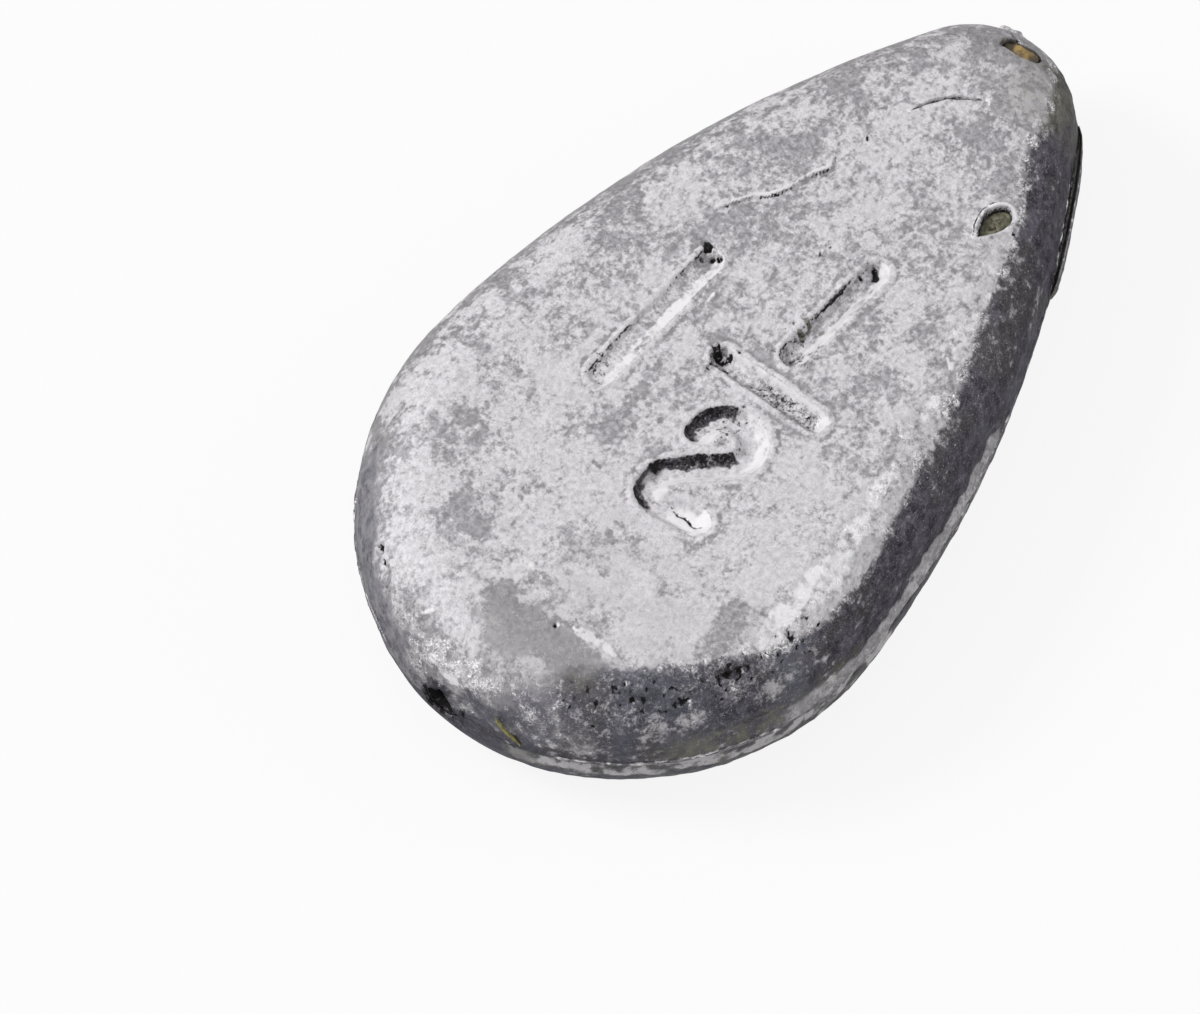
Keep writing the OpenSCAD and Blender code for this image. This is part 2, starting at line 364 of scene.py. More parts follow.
def path_gaps(points, path):
    """Each point's distance to the path, its share along it, and the unit way from the path to it."""
    path = lifted(path)
    nearest = np.full(len(points), np.inf)
    share, gap = np.zeros(len(points)), np.zeros((len(points), 3))
    done = 0
    for start, stop in zip(path, path[1:]):
        run = stop - start
        length = np.linalg.norm(run)
        t = np.clip((points - start) @ run / length ** 2, 0, 1)
        from_run = points - start - t[:, None] * run
        distance = np.linalg.norm(from_run, axis=1)
        closer = distance < nearest
        nearest[closer] = distance[closer]
        gap[closer] = from_run[closer]
        share[closer] = done + t[closer] * length
        done += length
    return nearest, share / done, gap / np.maximum(nearest, 1e-6)[:, None]


long_stroke = [(1.6, 3.22), (-1.7, 3.4), (-4.88, 3.46)]
upper_stroke = [(4.98, -2.05), (2.7, -1.92), (0.3, -1.78)]
fraction_line = [(-1.48, 0.25), (-1.48, -1.9), (-1.5, -4.12)]
lower_two = curve([
    (-4.5, -1.0), (-4.15, -1.02), (-3.75, -1.2), (-3.38, -1.6), (-3.3, -2.15), (-3.5, -2.7), (-3.95, -3.08),
    (-4.5, -3.15), (-5.0, -2.9), (-5.5, -2.35), (-6.0, -1.75), (-6.6, -1.2), (-7.15, -0.95), (-7.65, -1.0),
    (-7.92, -1.45), (-7.92, -2.1), (-7.84, -2.6), (-7.75, -3.15)])
tip_crack = curve([(11.4, 1.3), (12.06, 1.02), (12.71, 0.57), (13.18, -0.03), (13.62, -0.78)])
cold_shut = curve([
    (2.82, 4.7), (3.63, 4.37), (4.68, 3.74), (5.22, 3.19), (5.96, 2.81), (6.93, 2.5), (7.59, 2.15),
    (8.04, 2.3), (8.34, 2.63)])
first_gouge = curve([(-12.5, 1.85), (-12.93, 0.91), (-13.13, 0.13), (-13.5, -0.8)])
second_gouge = curve([(-14.45, -1.6), (-14.2, -2.54), (-14.1, -3.36), (-14.1, -4.2), (-14.35, -4.9)])
blow_hole = curve([
    (8.62, -4.12), (9.1, -3.84), (9.67, -3.72), (10.2, -3.92), (10.42, -4.35), (10.12, -4.66), (9.6, -4.68),
    (9.15, -4.5), (8.62, -4.12)])
tip_hollow = curve([
    (16.08, 0.42, 7.0), (16.42, 0.36, 7.0), (16.62, -0.25, 7.0), (16.6, -0.92, 7.0), (16.33, -1.0, 7.0),
    (16.1, -0.45, 7.0), (16.08, 0.42, 7.0)])
tip_cleft = curve([
    (17.1, 1.1, 6.3), (16.98, 0.6, 6.6), (16.72, 0.1, 6.92), (16.68, -0.6, 6.9), (16.62, -1.3, 6.75)])
squiggle = [
    (-16.15, 3.62, 6.9), (-16.3, 3.5, 6.85), (-16.35, 3.38, 6.8), (-16.52, 3.3, 6.72), (-16.68, 3.14, 6.62)]
strokes = [long_stroke, upper_stroke, fraction_line, lower_two]
print("strokes:", len(strokes))

# %% Refine the clay
DETAIL_BAND, EDGE_BAND = 0.85, 0.3
WALL_BAND = (0.3, 0.66)
UNDER_SEAM, UNDERCUT = 0.8, -0.35


def refine(bm, wanted):
    """Splits the squares that wanted() picks by their centres, in mm, and the way they face."""
    centres = np.array([face.calc_center_median() for face in bm.faces]) / MM
    facing = np.array([face.normal for face in bm.faces])
    chosen = wanted(centres, facing)
    edges = {edge for face, pick in zip(bm.faces, chosen) if pick for edge in face.edges}
    bmesh.ops.subdivide_edges(bm, edges=list(edges), cuts=1, use_grid_fill=True)


def seen_side(centres, facing):
    off_bore = np.hypot(centres[:, 1] - BORE_Y, centres[:, 2] - SEAM_Z) > BORE_R
    return (centres[:, 2] > SEAM_Z - UNDER_SEAM) & (facing[:, 2] > UNDERCUT) & off_bore


def near_paths(paths, nearest, farthest):
    def wanted(centres, facing):
        picked = np.zeros(len(centres), bool)
        for path in paths:
            gap = path_gaps(centres, path)[0]
            picked |= (gap < farthest) & (gap >= nearest)
        return picked
    return wanted


bm = bmesh.new()
bm.from_mesh(clay)
fine_marks = [*strokes, tip_crack, cold_shut, second_gouge, blow_hole, tip_cleft, squiggle]
for wanted in (seen_side, near_paths(fine_marks, 0, DETAIL_BAND)):
    bmesh.ops.smooth_vert(bm, verts=bm.verts, factor=0.5, use_axis_x=True, use_axis_y=True, use_axis_z=True)
    refine(bm, wanted)
refine(bm, near_paths([tip_crack, blow_hole, squiggle, tip_cleft], 0, EDGE_BAND))
refine(bm, near_paths(strokes, *WALL_BAND))
bmesh.ops.triangulate(bm, faces=[face for face in bm.faces if len(face.verts) > 4])
bm.to_mesh(clay)
bm.free()
print("triangles:", sum(len(polygon.vertices) - 2 for polygon in clay.polygons))

# %% [markdown]
# ## Sculpting by distance
# Every mark is a path or a spot, and each point of the clay knows its distance to it. A soft step
# of that distance makes a groove, a ridge or a dent. Noise bends the step, so nothing looks drawn
# with a ruler. The same distances also paint: dirt and painted shade in the creases, bright metal
# and painted highlights on the rubbed edges.
# X, Y and Z hold the places of the clay's points before any of them is moved.

# %% Sculpting helpers
count = len(clay.vertices)
flat = np.empty(count * 3, np.float32)
clay.vertices.foreach_get("co", flat)
surface = flat.reshape(-1, 3).astype(float) / MM
X, Y, Z = surface.T
clay.vertex_normals.foreach_get("vector", flat)
normals = flat.reshape(-1, 3).astype(float)
lift, drop = np.zeros(count), np.zeros(count)
# The dirt channel also holds painted shade, the worn one painted highlights, spark painted glints, and the
# side one the dark side's painted shade and dark reflection
CHANNELS = ("grime_and_shade", "worn_and_highlight", "bare", "side", "olive", "blue", "pale", "spark")
paint = {name: np.zeros(count) for name in CHANNELS}


def step(outer, inner, value):
    """0 at outer, 1 at inner, and a soft step between."""
    t = np.clip((value - outer) / (inner - outer), 0, 1)
    return t * t * (3 - 2 * t)


def bell(value, width):
    """1 at zero, falling away softly over the width."""
    return np.exp(-(value / width) ** 2)


def ripple(size, seed, points):
    """Soft noise from -1 to 1, with bumps of about size millimetres."""
    shift = Vector((seed, seed * 2, seed * 3))
    return np.array([noise.noise(Vector(point) / size + shift) for point in points])


def push(amount):
    """Moves the skin out, or in where the amount is negative."""
    lift[:] += amount


def brush(name, amount):
    """Paints an amount from 0 to 1 where it is stronger than what is there."""
    paint[name][:] = np.maximum(paint[name], np.clip(amount, 0, 1))


def taper(share, tail=0.15):
    """0 at both ends of a path, 1 in between."""
    return step(0, tail, share) * step(1, 1 - tail, share)


wide_wave = ripple(3.0, 1.0, surface)
wave = ripple(0.9, 2.0, surface)
grit = ripple(0.35, 3.0, surface)
speck = ripple(0.14, 4.0, surface)
on_face = (Z > SEAM_Z) & (normals[:, 2] > 0.3)
print("points:", count)

# %% [markdown]
# ## The weight number
# Each stroke is a groove whose two walls differ: one is steep, the other a long slope. The steep
# wall lies on the side towards the window lamp and faces away from it, so it is painted dark with
# dirt and painted shade. The long slope faces the lamp and is painted bright: metal that hands and
# tackle boxes have rubbed, and a painted highlight. The mould's raised figures were cut that way.
# The metal froze round them, so every groove has a soft rolled edge. The long stroke is the
# shallowest. The 2 is the widest, and its foot spreads.

# %% Weight number
# The way across the face towards the window lamp; a groove's wall on this side faces away from it
TOWARDS_WINDOW_LAMP = np.array([-0.4, 0.92, 0])
STROKE_DEPTH, ROLL_H, ROLL_W = 0.38, 0.055, 0.11


def stroke(path, width, soot_and_shade, rubbed_and_lit, spread=0.0, soot_and_shade_until=1.1, shallow_from=1.1, towards_lamp=TOWARDS_WINDOW_LAMP):
    """A groove with a rolled edge; its wall facing away from the lamp gets soot and painted shade, its open
    wall rubbed metal and a painted highlight.
    """
    gap, share, way = path_gaps(surface, path)
    shaded_side = way @ towards_lamp
    half = width / 2 * (1 + 0.07 * wave + 0.05 * grit) * (1 + spread * step(0.8, 1.0, share))
    across = gap / half
    inside = step(1.0, 0.36 + 0.32 * shaded_side, across) * on_face
    roll = bell(gap - half * 1.16, ROLL_W) * on_face
    depth = STROKE_DEPTH * (1 - 0.6 * step(shallow_from, shallow_from + 0.3, share))
    push(-depth * inside * (1 + 0.15 * wave + 0.1 * grit))
    push(ROLL_H * roll * (1 + 0.5 * wave))
    brush("worn_and_highlight", 0.36 * roll * (1 + 0.8 * grit + 0.5 * wave))
    brush("pale", 0.45 * bell(gap - half * 1.1, 0.17) * on_face * (1 + wave))
    brush("bare", 0.45 * bell(gap - half * 1.16 - 0.2, 0.08) * on_face * (1 + 1.5 * wave))
    # The open wall faces the window lamp: rubbed metal and a painted highlight
    open_wall = step(-0.15, 0.35, -across * shaded_side) * step(1.03, 0.9, across) * on_face
    brush("worn_and_highlight", rubbed_and_lit * open_wall * (0.85 + 0.4 * grit + 0.4 * wave))
    # The wall that faces away from the window lamp: soot and painted shade, partly in the dark side's colour
    lasts = step(soot_and_shade_until + 0.08, soot_and_shade_until, share)
    ragged = across + 0.25 * grit + 0.2 * speck
    shut_wall = step(-0.1, 0.3, shaded_side) * step(0.1, 0.5, ragged) * step(1.0, 0.93, across) * lasts
    brush("grime_and_shade", soot_and_shade * shut_wall * on_face
          * (0.42 + 0.4 * grit + 0.3 * wave + 0.4 * step(0.4, 0.9, across)))
    brush("side", 0.75 * soot_and_shade * step(-0.2, 0.3, shaded_side) * step(0.0, 0.45, ragged) * step(1.0, 0.9, across)
          * lasts * on_face)
    # The crease at the foot of that wall: dirt and painted shade
    crease = bell(across - 0.94, 0.06) * step(0.15, 0.6, shaded_side) * on_face
    brush("grime_and_shade", min(1, 0.5 + soot_and_shade) * crease * (0.7 + 1.2 * wave + 0.3 * grit))
    return inside


stroke(long_stroke, 1.1, 0.3, 0.85, shallow_from=-0.15)
stroke(upper_stroke, 1.14, 0.22, 0.8)
fraction_floor = stroke(fraction_line, 1.08, 0.5, 0.85)
two_floor = stroke(lower_two, 1.26, 0.95, 0.95, 0.12, 0.8, towards_lamp=np.array([-0.15, 0.98, 0]))
lower_end = fraction_floor * step(-0.2, -1.8, Y)
brush("worn_and_highlight", 0.42 * fraction_floor * (0.7 + 1.2 * grit))
brush("grime_and_shade", 0.5 * lower_end)
brush("worn_and_highlight", 0.85 * two_floor * step(-1.7, -2.5, Y) * step(-7.0, -7.4, X))
for x, y, size, share in ((-3.7, -2.6, 0.95, 0.95), (-7.1, -1.4, 0.9, 0.5)):
    cleaner = 1 - share * step(1.0, 0.65, np.hypot(X - x, Y - y) / size + 0.3 * grit)
    paint["grime_and_shade"] *= cleaner
    paint["side"] *= cleaner

# %% Chips and stains in the number


def spot(centre, size, ragged=0.9):
    """1 in the middle of a ragged spot, 0 from its edge outwards."""
    distance = np.linalg.norm(surface - lifted([centre])[0], axis=1) / size
    return step(1.0, 0.6, distance * (1 + ragged * (grit + 0.6 * speck) * (distance < 3)))


def pit(centre, size, depth, dirt_and_shade=1.0):
    """A dirty hole."""
    hole = spot(centre, size)
    push(-depth * hole)
    brush("grime_and_shade", dirt_and_shade * hole)


for centre, size, depth in (
        ((2.0, 3.7), 0.26, 0.2), ((1.75, 3.3), 0.18, 0.15), ((1.85, 3.0), 0.1, 0.1), ((1.5, 3.6), 0.14, 0.1),
        ((4.95, -2.1), 0.2, 0.12), ((5.2, -1.8), 0.1, 0.08), ((4.6, -1.65), 0.07, 0.06),
        ((-1.42, 0.6), 0.26, 0.22), ((-1.2, 0.15), 0.2, 0.16), ((-1.86, 0.42), 0.15, 0.12),
        ((-1.5, 0.25), 0.14, 0.12), ((-1.75, 0.0), 0.1, 0.08)):
    pit(centre, size, depth)
for centre, size in (
        ((0.8, -1.5), 0.24), ((1.2, -1.45), 0.16), ((0.4, -1.5), 0.22), ((0.2, -1.8), 0.2),
        ((0.6, -1.9), 0.2), ((-4.8, 3.8), 0.2), ((-5.2, 3.45), 0.18), ((-4.3, 3.7), 0.12),
        ((-4.2, -1.1), 0.2), ((-3.75, -1.45), 0.22), ((-3.25, -1.8), 0.22), ((-3.0, -2.0), 0.15)):
    brush("grime_and_shade", 0.5 * spot(centre, 1.3 * size, 1.6))
for centre in ((1.72, -1.27), (1.8, -1.9), (1.2, -1.35)):
    brush("olive", spot(centre, 0.2))
    brush("side", 0.6 * spot(centre, 0.2))

# %% [markdown]
# ## Casting faults on the face
# Lead freezes fast, so the skin keeps the story of the pour: a crack near the tip, a cold shut
# where two tongues of metal met, and a blow hole. The crack is cut narrow and deep, and the cold
# shut is a step: one side stands a little over the other.

# %% Cracks, folds and ridges
UPHILL = np.array([0.2, 0.98, 0])


def crack(path, width=0.085, depth=0.25):
    gap, share, way = path_gaps(surface, path)
    half = width * (0.4 + 0.6 * taper(share, 0.4)) * (1 + 0.5 * grit)
    inside = step(half, half * 0.3, gap)
    push(-depth * inside * taper(share, 0.25))
    brush("grime_and_shade", inside * taper(share, 0.08))
    brush("worn_and_highlight", 0.6 * bell(gap - 2 * half, half) * step(0, 0.5, way @ UPHILL)
          * taper(share) * (0.7 + grit))


def fold(path, height, width, bright=0.6):
    """A step in the skin, higher on the uphill side of the path."""
    gap, share, way = path_gaps(surface, path)
    near = taper(share) * (gap < 3 * width)
    across = gap * (way @ UPHILL) / width
    push(2 * height * across * bell(across, 1) * near * (1 + 0.5 * grit))
    # The step's upper edge is painted bright and its lower side dark: rubbed metal and dirt, with a painted
    # highlight and painted shade
    brush("worn_and_highlight", bright * bell(across - 0.55, 0.5) * near * (0.9 + 0.5 * wave + 0.5 * grit))
    brush("grime_and_shade", 0.9 * bell(across + 0.2, 0.3) * near * (0.75 + 0.8 * wave + 0.3 * grit))


def ridge(path, height, width, bright=0.8, ragged=0.6):
    """A raised line of rubbed metal."""
    gap, share = path_gaps(surface, path)[:2]
    shape = bell(gap, width * (1 + ragged * wave)) * taper(share, 0.3)
    push(height * shape)
    brush("worn_and_highlight", bright * shape * (0.75 + 1.2 * grit + 0.9 * speck))


crack(tip_crack)
for end in (tip_crack[0], tip_crack[-1]):
    brush("worn_and_highlight", 0.8 * spot(end, 0.13))
crack(curve([(-7.6, -1.95), (-7.76, -2.4), (-7.7, -2.8), (-7.8, -3.2), (-7.7, -3.65)]), 0.08, 0.12)
crack([(4.3, -1.5), (3.2, -1.44), (1.9, -1.36)], 0.06, 0.12)
fold(cold_shut, 0.14, 0.14, 1.0)
fold([(9.1, 1.95), (9.91, 1.62), (10.6, 1.23)], 0.05, 0.08, 0.5)
fold([(4.1, 0.25), (4.5, 0.1), (4.95, -0.05)], 0.06, 0.08, 0.9)
for path, height, width, bright in (
        ([(0.9, 2.2), (0.2, 2.25), (-0.4, 2.35)], 0.05, 0.13, 0.5),
        ([(-4.3, 1.5), (-3.31, 1.24), (-2.4, 0.86)], 0.035, 0.08, 0.55),
        ([(-4.0, 1.1), (-3.3, 0.9)], 0.03, 0.07, 0.4),
        (curve([(-1.8, 0.35), (-2.3, -0.2), (-2.75, -0.5), (-3.15, -0.68)]), 0.04, 0.09, 0.55),
        ([(0.75, -3.6), (0.44, -4.46), (0.15, -5.2)], 0.02, 0.06, 0.45),
        ([(0.35, -3.3), (-0.1, -4.0), (-0.2, -4.7)], 0.02, 0.06, 0.45), (first_gouge, 0.05, 0.15, 0.8),
        (second_gouge, 0.09, 0.2, 1.0), ([(-13.75, -4.6), (-14.1, -4.9), (-14.5, -4.95)], 0.04, 0.08, 0.7),
        ([(-17.15, 3.3, 6.1), (-16.9, 2.8, 6.5), (-16.6, 2.4, 6.8), (-16.1, 1.95, 7.2)], 0.08, 0.14, 1.0),
        ([(-16.3, 1.6, 7.2), (-15.9, 1.4, 7.35), (-15.5, 1.15, 7.44)], 0.04, 0.08, 0.6),
        # The long ridge round the wide end is painted bright: rubbed metal and a painted highlight
        (curve([(-17.5, 2.3, 5.9), (-17.7, 1.4, 5.6), (-17.75, 0.5, 5.5), (-17.7, -0.4, 5.6),
                (-17.5, -1.2, 6.0)]), 0.05, 0.32, 0.95),
        ([(-17.15, -0.2, 6.5), (-16.9, -0.9, 6.7), (-16.7, -1.6, 6.8)], 0.04, 0.12, 0.4),
        ([(-17.3, 2.15, 6.4), (-16.95, 2.0, 6.7)], 0.04, 0.07, 0.6),
        ([(6.3, 7.3, 6.9), (5.6, 7.5, 6.8), (4.9, 7.8, 6.7)], 0.03, 0.07, 0.4),
        (curve([(8.3, 2.6), (8.8, 3.2), (9.6, 3.3)]), 0.02, 0.07, 0.4)):
    ridge(path, height, width, bright)
pit((-14.5, -1.85), 0.15, 0.15)
pit((-12.6, 1.7), 0.08, 0.08, 0.7)

# %% Blow hole and tip hollow
HOLE_DEPTH, HOLE_WALL, HOLE_RIM_W = 0.85, 0.16, 0.1


def inside_loop(loop):
    """Which points of the clay lie inside a closed loop, seen from above."""
    inside = np.zeros(count, bool)
    for a, b in zip(loop, loop[1:]):
        crosses = (a[1] > Y) != (b[1] > Y)
        at_x = a[0] + (Y - a[1]) / (b[1] - a[1] + 1e-12) * (b[0] - a[0])
        inside ^= crosses & (X < at_x)
    return inside


def sink(loop, depth, rim_h, ease=0.01, wall=HOLE_WALL):
    """A hole, cut straight down, with the loop as its edge and a rolled rim; gives signed distances."""
    from_above = np.array([1, 1, 0])
    gap = path_gaps(surface * from_above, [point * from_above for point in loop])[0]
    signed = np.where(inside_loop(loop), -gap, gap)
    drop[:] += depth * step(ease, -wall, signed) * on_face
    push(rim_h * bell(signed - HOLE_RIM_W, HOLE_RIM_W) * on_face * (1 + 0.5 * wave))
    return signed


signed = sink(blow_hole, HOLE_DEPTH, 0.07)
rim_side = 0.35 + 0.6 * step(9.4, 10.3, X)
# The rim towards the tip is painted brighter: worn metal and a painted highlight; the far edge's dark line
# and the black inside are painted shade
brush("worn_and_highlight", bell(signed - 0.09, 0.1) * on_face * rim_side * (1.1 + 1.5 * grit))
brush("grime_and_shade", bell(signed - 0.16, 0.03) * on_face * step(-4.1, -3.8, Y) * (0.6 + 2 * grit))
brush("grime_and_shade", step(0.0, -0.05, signed) * on_face)
pit((9.72, -5.05, 7.25), 0.14, 0.12)
pit((10.15, -4.95, 7.2), 0.09, 0.08, 0.8)
signed = sink(tip_hollow, 0.7, 0.0, 0.14, 0.03)
brush("worn_and_highlight", 0.5 * bell(signed - 0.15, 0.07) * on_face * step(16.35, 16.05, X))
brush("olive", step(0.3, 0.1, signed) * on_face)
brush("bare", step(0.3, 0.1, signed) * on_face)

# %% [markdown]
# ## Shoulders, seam and ends
# The shoulders carry a cluster of black pits near the wide end. The two mould halves met at the
# seam, which shows as a fine bright ridge over a dark line. Near the tip the seam climbs over the
# torn gate. The ends have the bore's mouths, whose insides are painted black as shade. The metal
# over the wide end's mouth is pinched down into it.

# %% Pits and dents
for centre, size in (
        ((-14.75, -5.33, 7.09), 0.13), ((-15.44, -5.48, 6.58), 0.12), ((-15.0, -5.9, 6.66), 0.15),
        ((-14.12, -6.74, 6.74), 0.16), ((-13.63, -7.49, 6.49), 0.2), ((-16.39, -5.1, 5.7), 0.13),
        ((-12.03, -8.1, 6.89), 0.22), ((-12.2, -8.67, 6.45), 0.13), ((-10.3, -8.71, 7.03), 0.14),
        ((-9.01, -9.45, 6.74), 0.13), ((-15.46, 5.93, 6.22), 0.2), ((-15.87, 5.38, 6.22), 0.14),
        ((-15.6, 5.7, 6.3), 0.12)):
    pit(centre, size, 0.14)
pit_band = curve([
    (-16.2, -4.2, 6.6), (-15.0, -5.7, 6.7), (-13.9, -6.9, 6.7), (-12.4, -8.1, 6.75), (-10.6, -8.9, 6.85),
    (-8.6, -9.4, 6.75)])
gap = path_gaps(surface, pit_band)[0]
pits = step(0.3, 0.42, ripple(0.26, 7.0, surface) + 0.4 * speck) * step(1.0, 0.4, gap + 0.4 * wave)
push(-0.1 * pits)
brush("grime_and_shade", pits)
for centre in ((-11.66, -1.95), (-8.6, -0.55), (-10.13, -1.08), (-10.96, -4.21), (-10.6, 2.6), (-8.1, 1.2)):
    dent = spot(centre, 0.18)
    push(-0.03 * dent)
    brush("bare", dent)
crack(squiggle, 0.07, 0.15)
oval = curve([
    (-5.7, 8.62), (-5.6, 8.45), (-5.95, 8.3), (-6.2, 8.42), (-6.15, 8.62), (-5.9, 8.7), (-5.7, 8.62)])
ridge(oval, 0.04, 0.07, 0.55)

# %% Seam
from_seam = Z - SEAM_Z - 0.08 * wide_wave
mouth_gap = np.hypot(Y - BORE_Y, Z - SEAM_Z)
beside = (np.abs(normals[:, 2]) < 0.5) * step(BORE_R * 1.1, BORE_R * 1.5, mouth_gap)
bead = bell(from_seam - 0.12, 0.09) * beside
shut = bell(from_seam + 0.1, 0.09) * beside
push(0.06 * bead * (0.6 + 0.8 * wave) - 0.07 * shut)
seen_bead = step(-8.0, -13.0, X) * step(-17.4, -16.6, X)
brush("worn_and_highlight", bead * (0.2 + 0.35 * seen_bead + 0.8 * grit + 0.4 * wave))
brush("grime_and_shade", shut * (0.7 + 0.8 * wave + 0.5 * grit))
climb = curve([
    (15.3, -3.6, 4.9), (14.2, -4.4, 4.85), (12.79, -5.16, 4.56), (10.61, -6.27, 4.01), (8.87, -7.07, 3.6)])
ridge(climb, 0.06, 0.09, 0.7)

# %% Tip and mouths
gap, share = path_gaps(surface, tip_cleft)[:2]
cleft = step(0.12, 0.03, gap * (1 + 0.3 * grit)) * taper(share, 0.2)
push(-0.2 * cleft)
brush("grime_and_shade", cleft)
end_gap = np.minimum(X - casting_low[0], casting_high[0] - X)
nip = step(0.6, 0.0, X - casting_low[0]) * step(BORE_R * 2.3, BORE_R, mouth_gap)
nip *= step(-0.3, 0.3, Z - SEAM_Z + 0.25 * grit)
# The bore's walls near each mouth are painted black as shade
brush("grime_and_shade", step(BORE_R * 1.25, BORE_R * 1.1, mouth_gap) * step(0.02, 0.12, end_gap))
crack([(-17.7, 1.9, 4.6), (-17.75, 1.4, 4.75), (-17.75, 0.9, 4.7)], 0.1, 0.12)

# %% [markdown]
# ## Where the finishes change
# The face is pale oxide. Past a wandering line on the near shoulder the side is painted dark: bare
# dark metal, with painted shade and dark reflection. The far side is about half as dark, painted the
# same way. Handling has rubbed the near shoulder's crest bright, and that bright band is also a
# painted highlight, with painted glints along the border. Smooth patches stand where no oxide took.
# The sides have a thin olive film low down.

# %% Dark side
dark_line = curve([
    (17.4, -0.3, 5.6), (16.7, -1.6, 6.5), (15.6, -2.3, 6.95), (14.6, -2.8, 7.1), (13.3, -3.1, 7.25),
    (11.93, -3.7, 7.25), (10.3, -4.8, 7.15), (8.38, -5.5, 7.15), (6.47, -6.1, 7.2), (4.9, -6.75, 7.2),
    (2.75, -7.55, 7.12), (-0.77, -8.36, 7.1), (-2.97, -8.9, 7.0), (-4.73, -9.33, 6.9), (-6.43, -9.5, 6.85),
    (-9.22, -9.2, 6.9), (-11.0, -8.04, 7.22), (-12.62, -6.9, 7.33), (-13.84, -5.6, 7.35),
    (-14.6, -4.4, 7.4), (-15.6, -3.3, 7.25), (-16.6, -2.4, 6.85), (-17.2, -1.6, 6.3),
    (-17.7, -1.0, 5.6), (-17.95, -0.6, 4.9)], 3)
SPINE_FROM, SPINE_TO, SPINE_Y = -8.0, 12.0, 1.5
LEDGE_DEPTH = 0.12
gap, _, way = path_gaps(surface, dark_line)
spine = np.column_stack([np.clip(X, SPINE_FROM, SPINE_TO), np.full(count, SPINE_Y)])
outwards = surface[:, :2] - spine
outwards /= np.maximum(np.linalg.norm(outwards, axis=1), 1e-6)[:, None]
border_glints = bell(gap, 0.45)
outside = gap * np.sign((way[:, :2] * outwards).sum(axis=1) - way[:, 2]) + 0.35 * wave + 0.25 * grit
border_w = 0.5 + 0.8 * step(-13.5, -15.0, X)
# Past the line the side is painted dark: bare dark metal with painted shade and dark reflection; the far
# side and the part under the seam likewise
brush("side", step(-border_w, border_w, outside) * (Y < SPINE_Y))
# Painted glints: small bright specks on the near face and along the border
brush("spark", 0.3 * step(-6.0, -11.0, X) * (Y < 0) * on_face * (1 + wave))
border_share = 0.85 - 0.45 * step(-12.5, -14.5, X)
brush("spark", border_share * border_glints * on_face * (0.7 + grit + 0.5 * wave))
far_height = Z + 0.7 * wide_wave + 0.8 * wave
brush("side", 0.5 * step(7.1, 4.3, far_height - 0.7 * step(-5.0, -12.0, X) + 0.8 * grit))
brush("side", step(3.2, 2.6, Z))
ledge_run = step(4.8, 3.4, X) * step(-12.5, -8.5, X) * (Y < 0)
ledge_height = Z + 0.35 * wave + 0.15 * grit
push(-LEDGE_DEPTH * step(4.05, 4.3, ledge_height) * step(7.0, 5.5, Z) * ledge_run)
ledge = step(4.5, 4.15, ledge_height) * step(3.3, 3.5, Z) * ledge_run
paint["side"] *= 1 - 0.8 * ledge
brush("bare", 0.35 * ledge)

# %% Rubbed, smooth and stained places


def patch(centre, reach_x, reach_y, soft=0.6):
    """A soft oval patch on the upper side, ragged by noise."""
    x = (X - centre[0]) / reach_x
    y = (Y - centre[1]) / reach_y
    edge = np.hypot(x, y) + 0.25 * wave + 0.12 * grit
    return step(1.0 + soft / 2, 1.0 - soft / 2, edge) * (Z > SEAM_Z)


for centre, reach_x, reach_y, amount in (
        ((-15.1, -1.9), 0.8, 2.6, 0.9), ((-15.6, -0.4), 0.9, 1.5, 0.9), ((-14.7, 0.6), 0.7, 0.7, 0.8),
        ((-10.3, -6.9), 1.0, 0.6, 0.6), ((-11.6, -7.0), 0.8, 0.5, 0.6), ((-9.5, 6.4), 0.5, 0.55, 0.6),
        ((-9.9, 5.6), 0.45, 0.4, 0.6), ((-13.0, 3.2), 0.5, 0.7, 0.6), ((-12.6, 4.2), 0.5, 0.4, 0.6),
        ((-4.9, 1.9), 0.9, 0.3, 0.4), ((6.0, -0.6), 0.9, 0.5, 0.4), ((12.3, -1.0), 0.8, 0.8, 0.5)):
    brush("bare", amount * patch(centre, reach_x, reach_y, 0.4))
for centre, reach_x, reach_y, amount in (
        ((-9.0, -8.5), 1.8, 0.7, 1.0), ((-6.8, -8.6), 1.9, 0.75, 1.0), ((-4.4, -8.3), 1.7, 0.6, 0.95),
        ((-2.0, -7.9), 1.7, 0.5, 0.85), ((1.2, -7.2), 1.9, 0.45, 0.8), ((5.0, -6.2), 1.8, 0.45, 0.8),
        ((8.4, -5.2), 1.5, 0.45, 0.75), ((11.6, -4.0), 1.4, 0.4, 0.7), ((13.6, -3.1), 1.2, 0.4, 0.6),
        ((-17.7, 1.3), 0.65, 1.8, 1.0), ((-17.6, -0.4), 0.6, 1.1, 1.0), ((-17.0, -1.6), 0.7, 1.3, 0.55),
        ((-17.0, 3.2), 0.5, 1.0, 0.6), ((-16.4, -3.6), 0.7, 1.2, 0.35), ((-15.8, -4.8), 0.8, 1.0, 0.25)):
    # Painted glints on the near shoulder and at the wide end
    shine = amount * patch(centre, reach_x, reach_y, 1.0)
    shine *= np.maximum(step(4.6, 5.6, Z + 0.4 * Y), X > -15)
    brush("spark", shine * (0.8 + 0.6 * grit + 0.5 * wave))
    brush("bare", 0.8 * shine * (X < -15))
